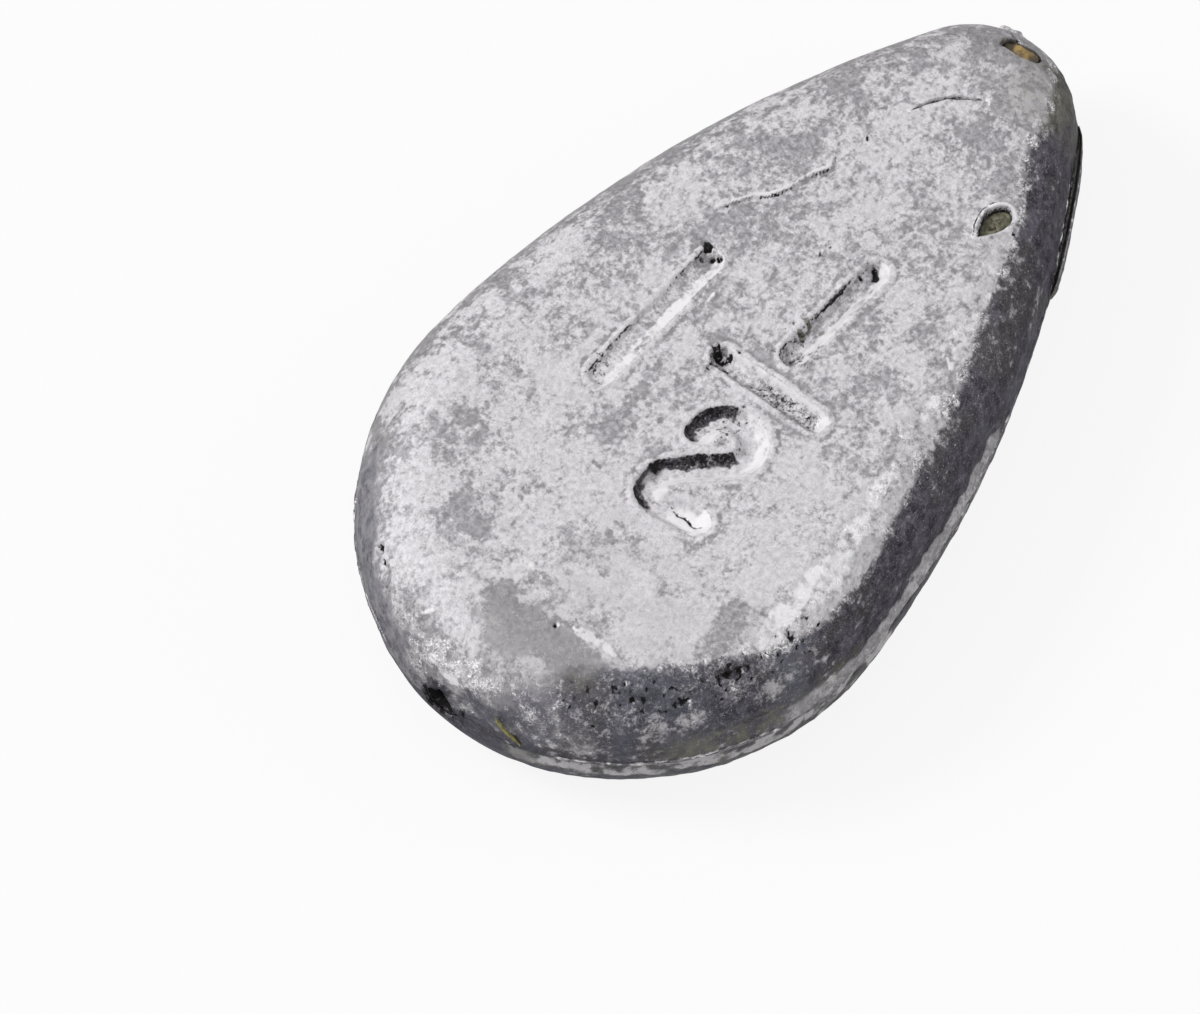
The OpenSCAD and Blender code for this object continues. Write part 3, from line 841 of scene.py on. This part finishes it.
# The near shoulder's crest: rubbed metal and a painted highlight
for centre, reach_x, reach_y, amount in (
        ((-10.1, -8.3), 0.6, 0.4, 0.75), ((-8.8, -8.3), 1.1, 0.5, 0.8), ((-7.0, -8.45), 1.4, 0.55, 0.8),
        ((-5.4, -8.45), 1.3, 0.45, 0.75), ((-3.5, -8.1), 1.2, 0.35, 0.65), ((-1.5, -7.8), 1.2, 0.3, 0.6),
        ((1.5, -7.2), 1.3, 0.3, 0.6), ((4.0, -6.6), 1.3, 0.3, 0.65), ((6.2, -6.0), 1.2, 0.3, 0.6),
        ((8.6, -5.25), 1.0, 0.25, 0.55)):
    brush("worn_and_highlight", amount * patch(centre, reach_x, reach_y, 0.9) * (0.75 + 1.4 * grit + 0.9 * speck))
facet = step(-17.1, -17.6, X) * step(0.3, -0.2, Y) * step(-3.6, -2.8, Y)
brush("bare", facet)
brush("side", facet * step(6.2, 5.2, Z + 0.3 * wave))
end_wall = step(-15.5, -16.8, X) * step(0.6, 0.0, Y) * step(3.6, 4.2, Z)
paint["side"] *= 1 - 0.38 * end_wall
# Painted glints on the wide end's wall
brush("spark", 0.5 * end_wall * (0.7 + grit + 0.7 * wave))
pale_band = curve([
    (-15.2, -6.4, 5.9), (-14.2, -7.6, 5.9), (-12.9, -8.6, 5.9), (-11.5, -9.3, 5.9), (-10.4, -9.7, 6.2)])
gap = path_gaps(surface, pale_band)[0]
brush("pale", step(0.9, 0.3, gap + 0.5 * wave) * (0.5 + 0.9 * wave + 0.6 * grit))
brush("bare", 0.12 * step(-4, 1, X + 2 * wide_wave) * (1 + step(1.0, 4.0, Y)))
brush("bare", 0.6 * step(14.0, 16.0, X + wave))
brush("side", 0.22 * step(14.5, 16.5, X + wave + grit))
brush("pale", 0.35 * patch((-9.0, -4.8), 5.5, 3.6, 1.2))
brush("olive", 0.5 * patch((-15.2, -1.6), 1.1, 2.6, 0.8))
brush("olive", 0.5 * ledge)
low_side = step(5.4, 4.5, Z) * step(-16.0, -14.0, X) * step(-6.0, -8.5, X)
low_side *= (Y < 0) * (Z > 3.4)
paint["side"] *= 1 - 0.3 * low_side
brush("olive", low_side * (0.5 + 0.8 * wave + 0.9 * grit))
# Painted glints on the ledge
brush("spark", 0.35 * ledge * (1 + grit))
under = step(3.45, 3.3, Z) * step(2.0, 2.7, Z) * step(-1.8, -2.4, Y)
under *= step(-3.0, -6.0, X) * (0.7 + 0.9 * wave + 0.5 * grit)
paint["side"] *= 1 - 0.75 * np.clip(under, 0, 1)
brush("olive", 0.9 * under)
brush("pale", 0.5 * under)
brush("olive", step(3.45, 3.2, Z) * step(-16.5, -15.0, X) * (0.3 + 0.6 * wave))
brush("pale", 0.7 * step(3.45, 3.2, Z) * (0.3 + wide_wave + 0.8 * wave))
brush("olive", 0.95 * patch((15.2, -2.0), 1.6, 1.4, 1.0))
stain = bell(np.linalg.norm((surface - [16.5, -1.65, 6.6]) * [1.4, 0.9, 0.9], axis=1), 0.7)
brush("olive", stain)
brush("side", 0.75 * stain * (1 + 0.5 * grit))
far_rim = step(7.25, 6.3, Z + 0.3 * wave) * (Y > SPINE_Y)
brush("olive", 0.45 * far_rim * (X > -12))
brush("bare", 0.45 * far_rim)
brush("olive", 0.4 * step(13.5, 15.5, X + wave))
brush("blue", 0.8 * patch((-9.9, -9.5), 1.2, 0.7, 1.2))
brush("blue", step(6.9, 6.2, Z) * step(2.0, 6.0, Y) * step(-5.0, -13.0, X + wave))
brush("blue", 0.45 * step(-11.5, -14.0, X) * (Y < 0))
print("painted shares:", {name: round(float(values.mean()), 3) for name, values in paint.items()})

# %% [markdown]
# ## Finish the casting
# The general waviness goes on last, and the points are kept inside the imported model's box in
# length and height. The underside is dished a little, so that it doesn't lie in the floor, and its
# paint is even. The light and dark sides of small marks are then read from the new shape and
# painted in: painted shade on the walls that turn away from the window lamp, and a painted
# highlight on the walls that turn towards it.

# %% Casting
REST_BAND, DISH_H = 0.4, 0.06
NIP_DOWN, NIP_ASIDE = 0.8, 0.6
UNDERSIDE_PAINT = {"side": 0.4, "bare": 0.4}
END_BAND, TIP_HOLLOW_FROM = (-17.8, -17.4), 15.6


def brush_mesh(mesh, name, amounts):
    """Stores a painted amount: one for all points, or one for each."""
    values = np.full(len(mesh.vertices), amounts, np.float32)
    mesh.attributes.new(name, "FLOAT", "POINT").data.foreach_set("value", values)


calm = step(0, REST_BAND, Z) * step(*END_BAND, X)
push((0.035 * wide_wave + 0.012 * wave + 0.008 * grit) * calm)
push(0.025 * (wave + grit) * paint["side"] * calm)
moved = surface + normals * lift[:, None]
moved[:, 2] -= drop + NIP_DOWN * nip * (1 + 0.3 * grit)
moved[:, 1] += NIP_ASIDE * nip * step(0.5, -0.3, Y - BORE_Y) * (1 + 0.3 * wave)
paint["side"] *= 1 - 0.6 * step(1.5, 0.1, Z + 0.8 * wave + 0.5 * grit)
resting = step(-0.8, -0.95, normals[:, 2])
moved[:, 2] += DISH_H * resting * step(9.0, 0.0, np.hypot(0.5 * X + 2, Y))
moved[:, 2] = np.clip(moved[:, 2], 0, casting_high[2] - 0.001)
moved[:, 0] = np.clip(moved[:, 0], casting_low[0], casting_high[0])
clay.vertices.foreach_set("co", (moved * MM).astype(np.float32).ravel())
clay.update()
clay.vertex_normals.foreach_get("vector", flat)
# Painted shade on walls turned away from the window lamp, painted highlight on walls turned towards it
shaded_side = (normals - flat.reshape(-1, 3)) @ TOWARDS_WINDOW_LAMP
brush("grime_and_shade", 0.6 * step(0.35, 0.85, shaded_side) * (0.6 + 0.8 * grit) * on_face)
brush("worn_and_highlight", 0.9 * step(0.2, 0.6, -shaded_side) * (0.8 + 0.5 * grit) * on_face * (X < TIP_HOLLOW_FROM))
for name, values in paint.items():
    brush_mesh(clay, name, values * (1 - resting) + UNDERSIDE_PAINT.get(name, 0) * resting)
clay.shade_smooth()
casting = bpy.data.objects.new("lead_casting_surface", clay)
scene.collection.objects.link(casting)


def join_sinker(piece, node_name, material):
    """The piece rides with the sinker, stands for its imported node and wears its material."""
    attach(piece, "root")
    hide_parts(node_name)
    piece.data.materials.append(material)
    print(piece.name, "triangles:", sum(len(polygon.vertices) - 2 for polygon in piece.data.polygons))


print("moved by up to, mm:", round(float(np.linalg.norm(moved - surface, axis=1).max()), 2))

# %% [markdown]
# ## Lead
# Old lead is two finishes in one: grey metal with a soft sheen, and chalky pale oxide that lies on
# it in islands with crumbled edges. One noise makes the islands, a wider one makes them crowd and
# thin out, and finer ones crumble them. The painted attributes then push the mix towards bare
# metal, the dark side with its painted shade and dark reflection, rubbed edges with painted
# highlights, painted glints, and dirt with painted shade.

# %% Shader helpers


def scaled(tree):
    """Object coordinates in millimetres."""
    place = node(tree, "ShaderNodeTexCoord").outputs["Object"]
    return node(tree, "ShaderNodeMapping", {"Vector": place, "Scale": (1 / MM, 1 / MM, 1 / MM)}).outputs[0]


def painted(tree, name):
    return node(tree, "ShaderNodeAttribute", attribute_name=name).outputs["Fac"]


def cloud(place, size, detail, roughness=0.6, distortion=0.0):
    """Noise whose main features are about size millimetres."""
    return node(place.id_data, "ShaderNodeTexNoise", {
        "Vector": place, "Scale": 1 / size, "Detail": detail, "Roughness": roughness,
        "Distortion": distortion}).outputs["Fac"]


def work(operation, *values):
    """A math node, in the tree of the first socket among its values."""
    tree = next(value.id_data for value in values if isinstance(value, bpy.types.NodeSocket))
    return node(tree, "ShaderNodeMath", dict(enumerate(values)), operation=operation).outputs[0]


def times(first, second):
    return work("MULTIPLY", first, second)


def plus(value, extra, share):
    """A value with a share of another one added."""
    return work("MULTIPLY_ADD", extra, share, value)


def soft_step(value, low, high, start=0.0, stop=1.0):
    return node(value.id_data, "ShaderNodeMapRange", {
        "Value": value, "From Min": low, "From Max": high, "To Min": start, "To Max": stop},
        interpolation_type="SMOOTHSTEP").outputs["Result"]


def blend(share, first, second):
    """Mixes two colours; each is a socket or a plain colour."""
    tree = share.id_data
    made = node(tree, "ShaderNodeMix", {"Factor": share}, data_type="RGBA", clamp_factor=True)
    for socket, colour in zip([s for s in made.inputs if s.type == "RGBA"], (first, second)):
        if isinstance(colour, bpy.types.NodeSocket):
            tree.links.new(colour, socket)
        else:
            socket.default_value = (*colour, 1)
    return next(s for s in made.outputs if s.type == "RGBA")


def coated(colour, *coats):
    """Lays coats over a colour, each given as its share and its own colour."""
    for share, coat in coats:
        colour = blend(share, colour, coat)
    return colour


def broken(mask, texture, strength, low, high):
    """A painted mask whose edge a texture breaks up."""
    return soft_step(plus(mask, work("SUBTRACT", texture, 0.5), strength), low, high)


def relief(height, strength, depth):
    """The normal of a small relief, up to depth millimetres."""
    return node(height.id_data, "ShaderNodeBump", {
        "Height": height, "Strength": strength, "Distance": depth * MM}).outputs["Normal"]


def shaded(colour, share):
    return tuple(share * channel for channel in colour)


# %% Lead material
PALE, GREY = (0.77, 0.743, 0.78), (0.31, 0.299, 0.317)
DARK, DARK_HIGH = (0.02, 0.0185, 0.025), (0.09, 0.084, 0.104)
# The rubbed colour also serves painted highlights and glints, the sheen is painted on glints, and the dirt
# colour also serves painted shade
RUBBED_AND_HIGHLIGHT, SHEEN, DIRT_AND_SHADE = (0.88, 0.865, 0.88), (0.62, 0.605, 0.62), (0.012, 0.011, 0.011)
OLIVE, BLUE, BROWN = (0.185, 0.182, 0.135), (0.15, 0.158, 0.195), (0.066, 0.058, 0.053)

# Old lead stays dull where it is seen edge on
EDGE_TINT = (0.45, 0.45, 0.47, 1)


def lead_material(name, oxide, dark):
    """Lead, with shifts of the share of pale oxide and of the dark side, which is dark metal with painted
    shade and dark reflection.
    """
    material, tree, bsdf = new_material(name)
    place = scaled(tree)
    crowd = cloud(place, 2.6, 3)
    islands = cloud(place, 0.6, 10, 0.66, 0.3)
    crumbs = cloud(place, 0.22, 8, 0.72)
    grain = cloud(place, 0.075, 3, 0.7)
    flakes = cloud(place, 0.14, 4, 0.7, 1.3)
    soot_and_shade = cloud(place, 0.13, 4, 0.7)

    edge = plus(painted(tree, "side"), work("SUBTRACT", islands, 0.5), 0.8)
    side = broken(work("ADD", edge, dark), crumbs, 1.2, 0.34, 0.68)
    field = islands
    for texture, share in ((crowd, 0.7), (crumbs, 0.5), (painted(tree, "bare"), -0.3),
                           (painted(tree, "pale"), 0.2), (side, -0.24)):
        field = plus(field, texture, share)
    oxide_share = soft_step(work("ADD", field, oxide), 0.945, 1.15)
    # The worn mask is rubbed metal and painted highlights, spark is painted glints, and the grime mask is
    # dirt and painted shade
    rubbed_and_lit = broken(painted(tree, "worn_and_highlight"), crumbs, 1.1, 0.3, 0.8)
    glint = broken(painted(tree, "spark"), crumbs, 1.2, 0.25, 0.85)
    dirt_and_shade = broken(painted(tree, "grime_and_shade"), soot_and_shade, 2.6, 0.4, 0.8)
    film = times(painted(tree, "olive"), soft_step(crumbs, 0.36, 0.66, 0.25, 1.3))

    grey = blend(soft_step(crumbs, 0.35, 0.65), shaded(GREY, 0.7), shaded(GREY, 1.55))
    grey = blend(times(painted(tree, "bare"), 0.45), grey, shaded(GREY, 0.7))
    pale = blend(soft_step(crumbs, 0.35, 0.65), shaded(PALE, 0.76), shaded(PALE, 1.06))
    # The dark side's colour: dark metal with painted shade and dark reflection; its white specks are painted
    # glints
    dark_metal_and_shade = coated(
        blend(soft_step(islands, 0.35, 0.68), DARK, DARK_HIGH),
        (times(soft_step(crumbs, 0.48, 0.72), 0.4), GREY),
        (times(painted(tree, "blue"), 0.6), BLUE),
        (soft_step(crowd, 0.46, 0.62, 0.0, 0.4), BROWN),
        (times(film, 0.5), OLIVE),
        (times(soft_step(grain, 0.64, 0.7), 0.6), RUBBED_AND_HIGHLIGHT))
    colour = coated(
        blend(side, grey, dark_metal_and_shade),
        (oxide_share, blend(times(side, 0.55), pale, GREY)),
        (soft_step(grain, 0.5, 0.3, 0.0, 0.4), shaded(GREY, 0.8)),
        (times(film, 0.42), OLIVE),
        # Painted glints and sheen in small flakes
        (times(glint, soft_step(flakes, 0.36, 0.6)), SHEEN),
        (times(glint, soft_step(flakes, 0.55, 0.64)), RUBBED_AND_HIGHLIGHT),
        (rubbed_and_lit, RUBBED_AND_HIGHLIGHT),
        (dirt_and_shade, DIRT_AND_SHADE))

    metal = plus(soft_step(oxide_share, 0, 1, 0.5, 0.1), side, 0.35)
    metal = work("MAXIMUM", metal, times(glint, 0.8))
    metal = times(metal, work("SUBTRACT", 1.0, times(rubbed_and_lit, 0.6)))
    metal = times(metal, work("SUBTRACT", 1.0, dirt_and_shade))
    rough = plus(plus(soft_step(oxide_share, 0, 1, 0.42, 0.6), glint, -0.14), dirt_and_shade, 0.4)
    height = plus(plus(plus(crumbs, grain, 0.35), oxide_share, 0.12), times(glint, flakes), 2.0)
    fill(bsdf, {
        "Base Color": colour, "Metallic": metal, "Roughness": rough, "Specular IOR Level": 0.4,
        "Specular Tint": EDGE_TINT, "Normal": relief(height, 0.7, 0.05)})
    return material


lead = lead_material("oxidised_lead", 0.0, 0.0)
torn = lead_material("torn_lead", -0.08, 0.15)
join_sinker(casting, "lead_casting", lead)

# %% [markdown]
# ## Torn edges of the pour
# Four small pieces stand on the casting: the stub of the gate, the fins along the seam, and a lip
# round the pin's hole at each end. All were torn or snipped, so their edges are ragged. Each is a
# run of small rings, bridged into a skin: the rings follow the outline or circle the bore, and noise
# decides how far each one sticks out.

# %% Bars along the outline


def outline_at(index):
    """X, Y and the way out at a place between two points of the outline."""
    below = rim[int(index)]
    above = rim[int(index) + 1]
    x, y, angle = below + (above - below) * (index % 1)
    return np.array([x + SHIFT_X, y]), np.array([math.cos(angle), math.sin(angle)])


def outline_bar(bm, start, stop, profile, pace=0.25):
    """Rings of a profile, given as out and up, along the outline; profile(share, place) may change it."""
    rings = []
    for index in np.arange(start, stop, pace):
        foot, out = outline_at(index)
        section = profile((index - start) / (stop - start), foot)
        rings.append([(*(foot + out * out_by), SEAM_Z + up) for out_by, up in section])
    skin(bm, rings)


def roughness_at(place, size, seed):
    """Noise from -1 to 1 at one place of the outline."""
    return noise.noise(Vector((*place, seed)) / size)


def piece_points(piece):
    points = np.empty(len(piece.data.vertices) * 3, np.float32)
    piece.data.vertices.foreach_get("co", points)
    return points.reshape(-1, 3) / MM


# %% Seam fins
FIN_PROUD, FIN_T, FIN_ROOT = 0.1, 0.16, 0.15
fin_runs = ((8, 39), (48, 63), (72, 86), (135, 151), (159, 184))


def fin_section(share, place):
    end = float(taper(np.array([share]), 0.06)[0])
    tear = 0.65 + 0.5 * roughness_at(place, 0.8, 1.0) + 0.4 * roughness_at(place, 0.25, 2.0)
    proud = max(0.01, FIN_PROUD * end * tear)
    half = FIN_T / 2 * (0.4 + 0.6 * end)
    lean = 0.04 * roughness_at(place, 1.5, 3.0)
    return [(-FIN_ROOT, -half), (0, -half), (proud * 0.6, lean - half * 0.6), (proud, lean - half * 0.15),
            (proud, lean + half * 0.15), (proud * 0.6, lean + half * 0.6), (0, half), (-FIN_ROOT, half)]


bm = bmesh.new()
for start, stop in fin_runs:
    outline_bar(bm, start, stop, fin_section)
fins = as_object(bm, "seam_flash_edges")
fin_points = piece_points(fins)
brush_mesh(fins.data, "worn_and_highlight", 0.12 + 0.9 * ripple(0.5, 4.0, fin_points) + 0.5 * ripple(0.2, 5.0, fin_points))
brush_mesh(fins.data, "side", 0.4)
join_sinker(fins, "seam_flash", torn)

# %% Gate stub
GATE_FROM, GATE_TO = 111.5, 127.5
GATE_PROUD, GATE_HALF_H, GATE_ROOT = 0.3, 0.5, 0.3
RIM_BY_GATE = rim[105:140]


def gate_section(share, place):
    """A bar whose top is hollowed between the casting and a ragged outer edge."""
    end = min(1, share / 0.4) * min(1, (1 - share) / 0.06)
    tear = roughness_at(place, 0.9, 5.0) * 0.35 + roughness_at(place, 0.3, 6.0) * 0.3
    proud = GATE_PROUD * (0.3 + 0.7 * end) * (0.9 + 0.3 * tear)
    top = GATE_HALF_H * (0.35 + 0.65 * end) * (0.9 + 0.5 * tear)
    low = -GATE_HALF_H * (0.4 + 0.6 * end)
    return [(-GATE_ROOT, low), (0.05, low), (proud * 0.8, low * 0.8), (proud, low * 0.3), (proud, top * 0.5),
            (proud * 0.95, top), (proud * 0.75, top), (proud * 0.5, top * 0.8), (0.04, top * 0.5),
            (-0.03, top * 0.8), (-GATE_ROOT, top * 0.8)]


bm = bmesh.new()
outline_bar(bm, GATE_FROM, GATE_TO, gate_section)
gate = as_object(bm, "gate_stub_tear")
gate_points = piece_points(gate)
gate_height = gate_points[:, 2] - SEAM_Z
rim_gaps = path_gaps(gate_points * [1, 1, 0], [(x + SHIFT_X, y, 0) for x, y, angle in RIM_BY_GATE])[0]
outer = step(0.14, 0.22, rim_gaps) * step(0.1, 0.3, gate_height)
brush_mesh(gate.data, "worn_and_highlight", outer * (0.1 + 1.2 * ripple(0.3, 6.0, gate_points)))
# The crease at the gate's root is painted dark: dirt and painted shade
brush_mesh(gate.data, "grime_and_shade", 0.8 * step(0.06, 0.02, rim_gaps) * step(0.0, 0.1, gate_height))
brush_mesh(gate.data, "side", 0.75 - 0.4 * step(0.25, 0.4, gate_height))
brush_mesh(gate.data, "olive", step(0.35, 0.2, gate_height))
join_sinker(gate, "gate_stub", torn)

# %% Lips round the bore
BURR_ANGLE = math.radians(68)
LIP_SUNK = 0.02


def lip(name, foot_x, reach, wall, start, stop, steps, ragged, burr=0.0):
    """A torn collar: rings of a small profile round the bore's axis, from a foot to a ragged edge."""
    rings = []
    whole = abs(stop - start) >= 2 * math.pi
    for angle in np.linspace(start, stop, steps, endpoint=not whole):
        spoke = np.array([math.cos(angle), math.sin(angle)])
        tear = roughness_at(spoke * 2, 0.7, foot_x) + 0.5 * roughness_at(spoke * 2, 0.25, foot_x + 9)
        length = reach * (1 - ragged * (0.5 + tear))
        thick = wall * (0.85 + 0.25 * tear) + burr * math.exp(-((angle - BURR_ANGLE) / 0.5) ** 2)
        edge = foot_x + math.copysign(min(abs(length), abs(reach)), reach)
        section = [(foot_x, 0), (edge * 0.5 + foot_x * 0.5, 0.01), (edge, thick * 0.25), (edge, thick * 0.6),
                   (edge * 0.7 + foot_x * 0.3, thick * 0.95), (foot_x, thick)]
        rings.append([(x, *(np.array([BORE_Y, SEAM_Z]) + spoke * (BORE_R + out))) for x, out in section])
    bm = bmesh.new()
    skin(bm, rings, closed=whole)
    return as_object(bm, name)


tip_lip = lip("tip_pin_lip_collar", casting_high[0] - LIP_SUNK, 0.71, 0.4, 0, 2 * math.pi, 96, 0.25, 0.5)
brush_mesh(tip_lip.data, "worn_and_highlight", 0.35)
join_sinker(tip_lip, "tip_pin_lip", torn)
wide_lip = lip(
    "wide_pin_lip_collar", casting_low[0] + LIP_SUNK, -0.168, 0.24,
    math.radians(176), math.radians(364), 64, 0.35)
# The lower lip inside the wide mouth is painted dark: dirt and painted shade
brush_mesh(wide_lip.data, "grime_and_shade", 0.55 + ripple(0.4, 8.0, piece_points(wide_lip)))
brush_mesh(wide_lip.data, "side", 0.9)
join_sinker(wide_lip, "wide_pin_lip", torn)

# %% [markdown]
# ## What has settled on it
# Three things aren't lead: dried silt in the blow hole, an amber deposit in the hollow at the tip,
# and a strand of plant fibre. The two fillings are made of rings of the hole's own edge, drawn in
# step by step towards the middle, so that they follow its shape, and noise makes them lumpy.

# %% Fillings
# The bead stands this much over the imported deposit, less what its lumps take away
CROWN_RISE = 0.17


def lump(point):
    return 0.5 + 0.5 * noise.noise(Vector((*point, 0)) * 5) + 0.3 * noise.noise(Vector((*point, 3)) * 14)


def filling(name, loop, low_z, high_z, shrink, crown, lumps):
    """A plug with the hole's outline and a lumpy, slightly domed top."""
    edge = np.array([point[:2] for point in loop[:-1]])
    centre = edge.mean(axis=0)
    ways = edge - centre
    inner = 1 - shrink / np.linalg.norm(ways, axis=1)[:, None]
    rings = [[(*point, low_z) for point in centre + ways * inner * 0.96]]
    for share in (1.0, 0.93, 0.84, 0.72, 0.6, 0.46, 0.32, 0.18, 0.07):
        top = high_z - crown * share ** 2
        rings.append([(*point, top - lumps * lump(point)) for point in centre + ways * inner * share])
    bm = bmesh.new()
    skin(bm, rings)
    return as_object(bm, name)


silt_low, silt_high = node_box("pit_silt")
silt = filling("pit_silt_bed", blow_hole, silt_low[2], silt_high[2], 0.06, 0.08, 0.12)
amber_low, amber_high = node_box("amber_deposit")
amber = filling("amber_deposit_bead", tip_hollow, amber_low[2], amber_high[2] + CROWN_RISE, 0.0, 0.06, 0.08)

material, tree, bsdf = new_material("dried_silt")
clods = cloud(scaled(tree), 0.28, 6, 0.7)
fill(bsdf, {
    "Base Color": blend(soft_step(clods, 0.38, 0.62), (0.1, 0.095, 0.06), (0.27, 0.26, 0.18)),
    "Roughness": 0.85, "Normal": relief(clods, 0.9, 0.06)})
join_sinker(silt, "pit_silt", material)

# The middle of the bead is painted lighter gold: partly the amber's own colour and partly a painted
# highlight
brush_mesh(amber.data, "clear", bell(piece_points(amber)[:, 1] + 0.15, 0.4))
material, tree, bsdf = new_material("amber_deposit")
lobes = cloud(scaled(tree), 0.4, 3, 0.5)
clear = plus(work("SUBTRACT", lobes, 0.1), painted(tree, "clear"), 0.2)
fill(bsdf, {
    "Base Color": blend(soft_step(clear, 0.42, 0.74), (0.05, 0.033, 0.013), (0.42, 0.28, 0.09)),
    "Roughness": soft_step(lobes, 0.3, 0.7, 0.25, 0.5), "Normal": relief(lobes, 0.5, 0.08)})
join_sinker(amber, "amber_deposit", material)

# %% Strand
FIBRE_R, FIBRE_SIDES = 0.085, 8
fibre_path = curve([
    (-18.04, -1.72, 5.05), (-18.03, -1.95, 4.75), (-18.0, -2.2, 4.45), (-17.93, -2.42, 4.2),
    (-17.87, -2.6, 3.98), (-17.83, -2.74, 3.76)], 4)
rings = []
for before, here, after in zip(
        fibre_path[:1] + fibre_path, fibre_path, fibre_path[1:] + fibre_path[-1:]):
    along = (after - before) / np.linalg.norm(after - before)
    flat_way = np.cross(along, [1, 0, 0])
    flat_way /= np.linalg.norm(flat_way)
    thin_way = np.cross(along, flat_way)
    end = min(np.linalg.norm(here - fibre_path[0]), np.linalg.norm(here - fibre_path[-1]))
    radius = FIBRE_R * (0.45 + 0.55 * min(1, end / 0.3)) * (1 + 0.25 * noise.noise(Vector(here) * 3))
    rings.append([here + radius * (math.cos(turn) * flat_way + 0.8 * math.sin(turn) * thin_way)
                  for turn in np.linspace(0, 2 * math.pi, FIBRE_SIDES, endpoint=False)])
bm = bmesh.new()
skin(bm, rings)
fibre = as_object(bm, "stuck_fibre_strand")

material, tree, bsdf = new_material("plant_fibre")
streak = cloud(scaled(tree), 0.2, 4, 0.6)
fill(bsdf, {
    "Base Color": blend(soft_step(streak, 0.35, 0.65), (0.14, 0.13, 0.04), (0.34, 0.31, 0.1)),
    "Roughness": 0.7, "Normal": relief(streak, 0.5, 0.02)})
join_sinker(fibre, "stuck_fibre", material)
